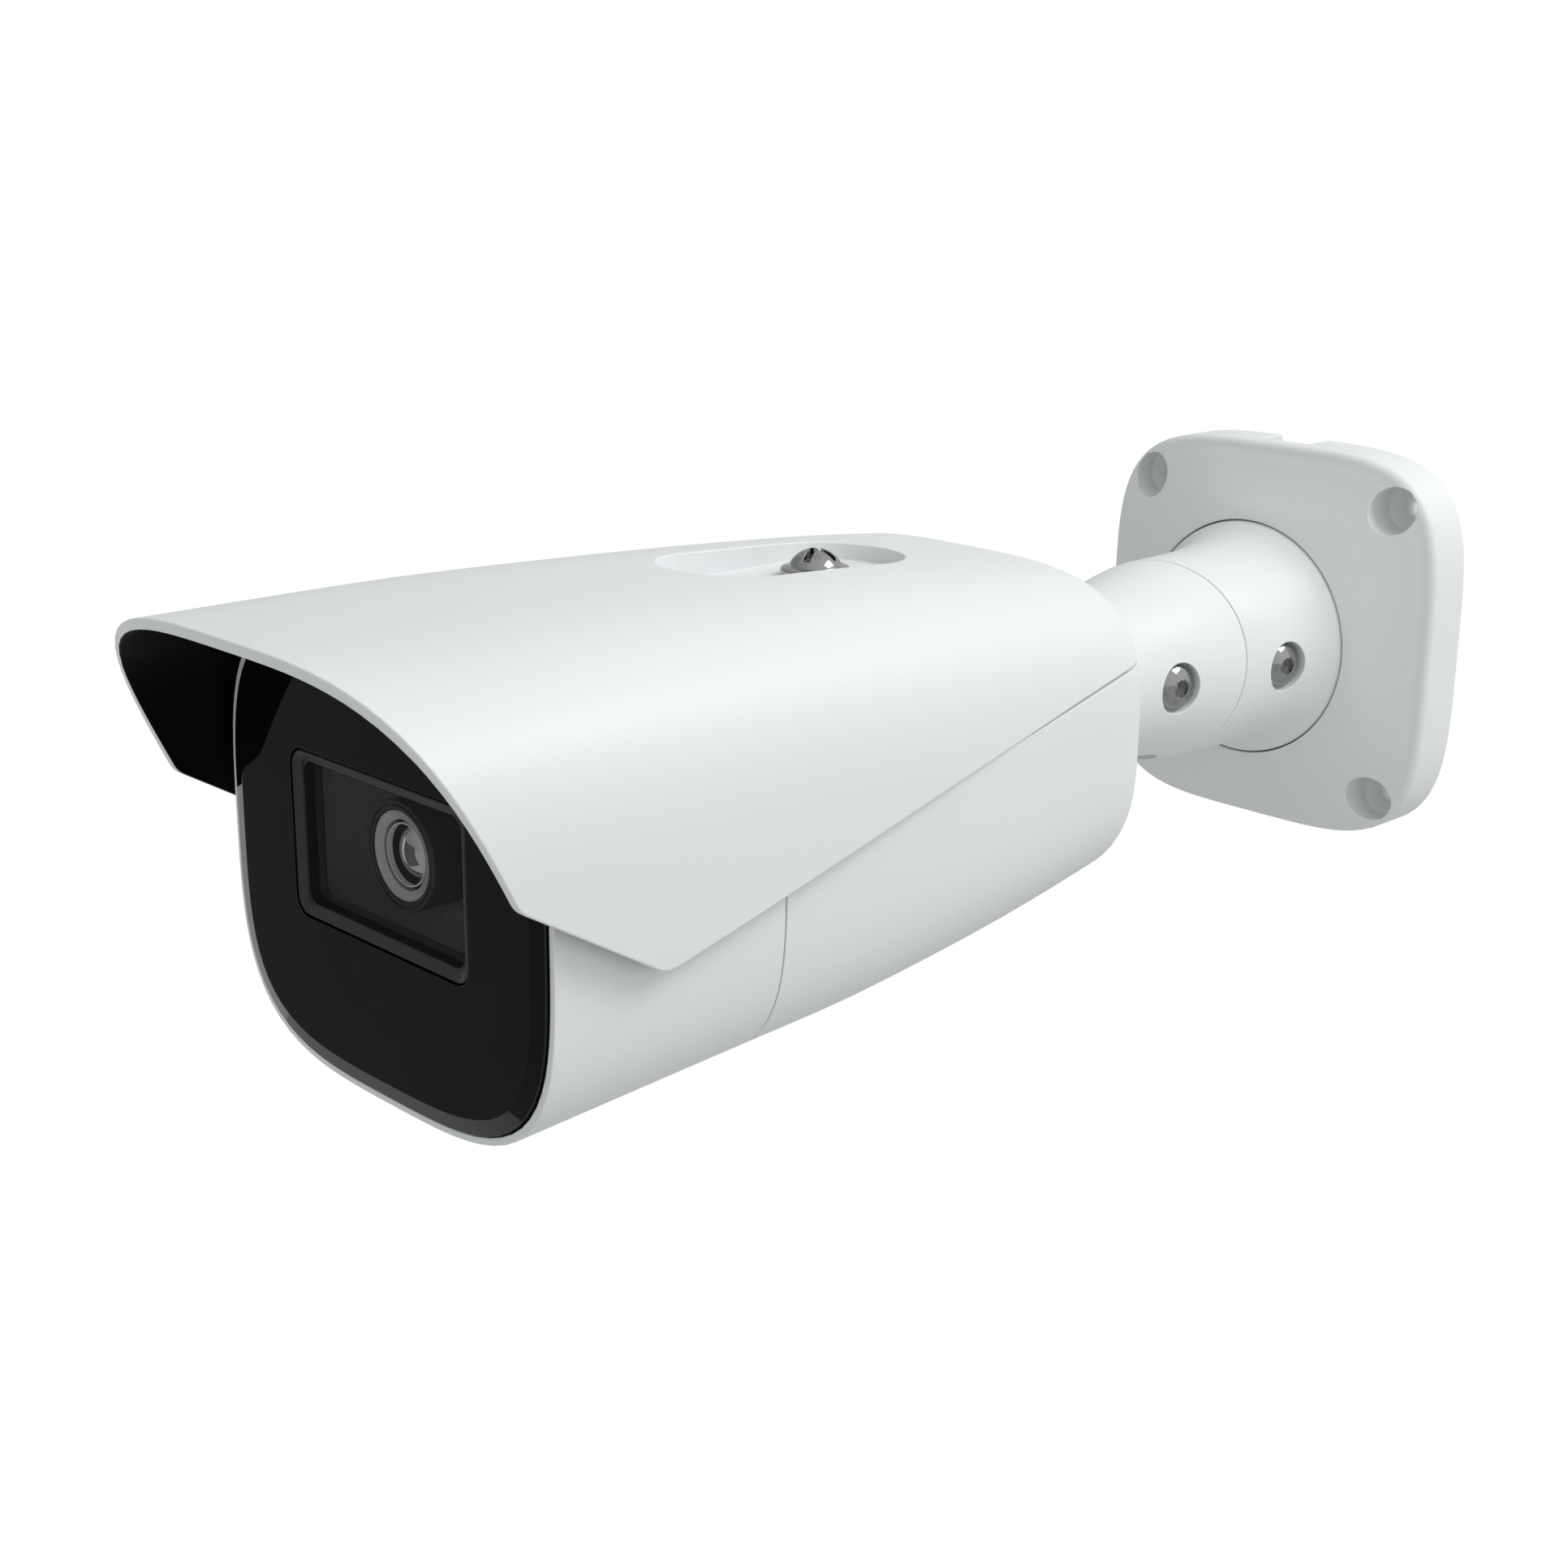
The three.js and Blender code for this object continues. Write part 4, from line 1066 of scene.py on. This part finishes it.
def pan_cup():
    """The cup, hollow for the post behind and for the neck's spigot in front."""
    foot = [17.3, 18.4, 19.6, 19.95, 20.3, 20.9]
    cup = horn(CUP_RADIUS, CUP_LEAN, foot + spread(21, SWIVEL, 18))
    cup = cut(cup, barrel(13.4, 10, 39), barrel(10.8, 38, 52))
    cup = cut(cup, swivel_bar(17, -8, -2.6))
    cup = cut(cup, swivel_bar(SPIGOT + 0.4, -4, 2))
    return cut(cup, lock_well(LOCKS["pan"]))


def neck():
    """The neck with a spigot at each end, its bore and the groove of its seal."""
    arm = horn(NECK_RADIUS, NECK_LEAN, [SWIVEL] + spread(SWIVEL, NECK_END, 18))
    arm = cut(arm, swivel_bar(30, -12, GAP))
    arm = join(arm, swivel_bar(SPIGOT, -8, 2), barrel(SPIGOT, 104, 118))
    arm = cut(arm, barrel(BORE, 60, 120), swivel_bar(BORE, -10, 9.5))
    groove = [(13.1, 104.4), (15.9, 104.4), (15.9, 107), (13.1, 107)]
    arm = cut(arm, turned(groove, 64, FORWARD))
    return cut(arm, lock_well(LOCKS["tilt"]), lock_well(LOCKS["roll"]))


finish("cup_casting", pan_cup(), "pan_swivel", ["pan_cup"], [WHITE], 0.2)
finish("neck_casting", neck(), "arm", ["neck"], [WHITE], 0.2)

# %% [markdown]
# ## Screws
# The lock screws are chromed and domed, with a hexagon socket. The sunshield's screw has a wide
# flange, a taller dome and crossed slots. Both start as a turned head. The dome is an arc, so
# it mirrors the room evenly, and the socket or the slots are cut with a bar or two blocks.

# %% The lock screws
def arc(height, radius, start, steps):
    """Points of a domed profile: an arc about the axis, from a start angle up to the crown."""
    turns = [math.radians(start + (90 - start) * step / steps) for step in range(steps)]
    rising = [(radius * math.cos(turn), height + radius * math.sin(turn)) for turn in turns]
    return [*rising, (0, height + radius)]


def lock_screw(place, depth):
    """A lock screw whose head starts a little above the bottom of its well."""
    base, head_radius, shank = GAP - WELL_DEPTH, 4.9, 2
    head = turned([
        (0, -depth), (shank, -depth), (shank, base), (head_radius, base),
        (head_radius, base + 0.4), *arc(base - 3.8, 6.6, 43, 9),
    ])
    socket = turned([(0, base + 0.9), (2, base + 0.9), (2, base + 5), (0, base + 5)], 6)
    head = cut(head, socket)
    bmesh.ops.transform(head, matrix=place, verts=head.verts)
    return head


for name, body in (("pan", "pan_swivel"), ("tilt", "arm"), ("roll", "arm")):
    screw = lock_screw(LOCKS[name], LOCK_DEPTH[name])
    finish(name + "_lock_head", screw, body, [name + "_lock_screw"], [CHROME], 0.12)

# %% The sunshield's screw
FLANGE, FLANGE_TOP, SLOT = 6.5, 1.4, 0.7


def shield_screw():
    """The screw of the sunshield, turned a little so that its slots don't line up with anything."""
    head = turned([
        (0, -9.5), (2, -9.5), (2, 0.9), (FLANGE, 0.9), (FLANGE, FLANGE_TOP),
        (FLANGE - 0.3, FLANGE_TOP + 0.4), (4.9, 2.1), *arc(-0.3, 5.5, 29, 10),
    ], 64)
    for across, stations in (((-SLOT, SLOT), (-8, 8)), ((-8, 8), (-SLOT, SLOT))):
        head = cut(head, slab(across, stations, (3.3, 9)))
    turn = Matrix.Rotation(math.radians(20), 4, "Z")
    place = Matrix.Translation((0, -SCREW_AT, FLOOR)) @ turn
    bmesh.ops.transform(head, matrix=place, verts=head.verts)
    return head


screw = shield_screw()
finish("sunshield_screw_head", screw, "camera", ["sunshield_screw"], [CHROME], 0.1)

# %% [markdown]
# ## Light, floor and camera
# A white product on white is lit by its surroundings: an even bright room, a large soft light
# above on the right, and a pale floor that throws light back up. A dark card, seen only in
# reflections, keeps the front glass black, as a photographer's flag does, and a white one beside
# it lights the glass's ground edge.

# %% The room's light
scene = bpy.context.scene
scene.view_settings.view_transform = "Standard"


def seen_or(paint, light):
    """White where it is looked at, and the given light where it only lights the object."""
    looked_at = paint.node("ShaderNodeLightPath", out=0)
    return looked_at + (1 - looked_at) * light


def emitting(paint, kind, target, strength):
    """A glowing surface or a world, done."""
    glow = paint.node(kind, None, {"Color": (1, 1, 1, 1), "Strength": strength})
    output = paint.tree.nodes.new(target)
    paint.tree.links.new(glow.socket, output.inputs["Surface"])
    return paint.material


def room():
    """A bright room: a little brighter on the right, behind and above."""
    paint = Paint("room", "worlds")
    way = paint.node("ShaderNodeTexCoord", out=0)
    across, deep, up = (
        paint.node("ShaderNodeSeparateXYZ", None, {"Vector": way}, out=axis) for axis in range(3)
    )
    light = 0.61 + across * 0.24 + deep * 0.12 + up * 0.12
    return emitting(paint, "ShaderNodeBackground", "ShaderNodeOutputWorld", seen_or(paint, light))


scene.world = room()
print("the room's light has", len(scene.world.node_tree.nodes), "nodes")

# %% The key light, the floor and the cards
def soft_light(name, place, size, power):
    """A large soft light aimed at the middle of the camera."""
    light = bpy.data.lights.new(name, "AREA")
    light.shape, light.size, light.size_y, light.energy = "RECTANGLE", size, size * 0.7, power
    holder = bpy.data.objects.new(name, light)
    look = (Vector((0, -0.14, 0)) - Vector(place)).to_track_quat("-Z", "Y").to_matrix().to_4x4()
    holder.matrix_world = Matrix.Translation(place) @ look
    scene.collection.objects.link(holder)


soft_light("key_above", (0.52, 0.24, 0.66), 0.5, 3.4)


def flat(name, size, place, light):
    """A glowing sheet of the stage, white where it is looked at."""
    paint = Paint(name)
    strength = seen_or(paint, paint.noise(900, 1) * 0.06 + light)
    material = emitting(paint, "ShaderNodeEmission", "ShaderNodeOutputMaterial", strength)
    bm = bmesh.new()
    bmesh.ops.create_grid(bm, x_segments=1, y_segments=1, size=size)
    mesh = bpy.data.meshes.new(name)
    bm.to_mesh(mesh)
    bm.free()
    mesh.materials.append(material)
    sheet = bpy.data.objects.new(name, mesh)
    sheet.matrix_world = place
    scene.collection.objects.link(sheet)
    return sheet


flat("floor", 12, Matrix.Translation((0, 0, -0.32)), 0.5)


def card(name, size, way, distance, light):
    """A card beside the front glass, seen only in reflections."""
    way = Vector(way).normalized()
    place = Matrix.Translation(Vector((0, -0.25, 0)) + distance * way)
    sheet = flat(name, size, place @ way.to_track_quat("Z", "Y").to_matrix().to_4x4(), light)
    for seen in ("camera", "diffuse", "shadow", "transmission"):
        setattr(sheet, "visible_" + seen, False)


card("dark_flag", 0.2, (-0.6, -0.75, -0.3), 0.45, 0.1)
card("white_card", 0.17, (-0.96, -0.15, -0.22), 0.5, 0.8)
print("the floor and two cards are in place")

# %% The camera
# It looks down a little from the front right, turned a hair clockwise.
lens = bpy.data.cameras.new("view")
lens.sensor_width, lens.lens, lens.clip_start = 36, 53.12, 0.01
view = bpy.data.objects.new("view", lens)
azimuth, elevation, roll = (math.radians(angle) for angle in (46.164, 16.772, 0.595))
spin = Matrix.Rotation(azimuth, 4, "Z") @ Matrix.Rotation(math.pi / 2 - elevation, 4, "X")
stand = Matrix.Translation((0.29527, -0.44506, 0.1173))
view.matrix_world = stand @ spin @ Matrix.Rotation(roll, 4, "Z")
scene.collection.objects.link(view)
scene.camera = view
print("the camera stands", round(view.location.length, 3), "m from the wall plate")
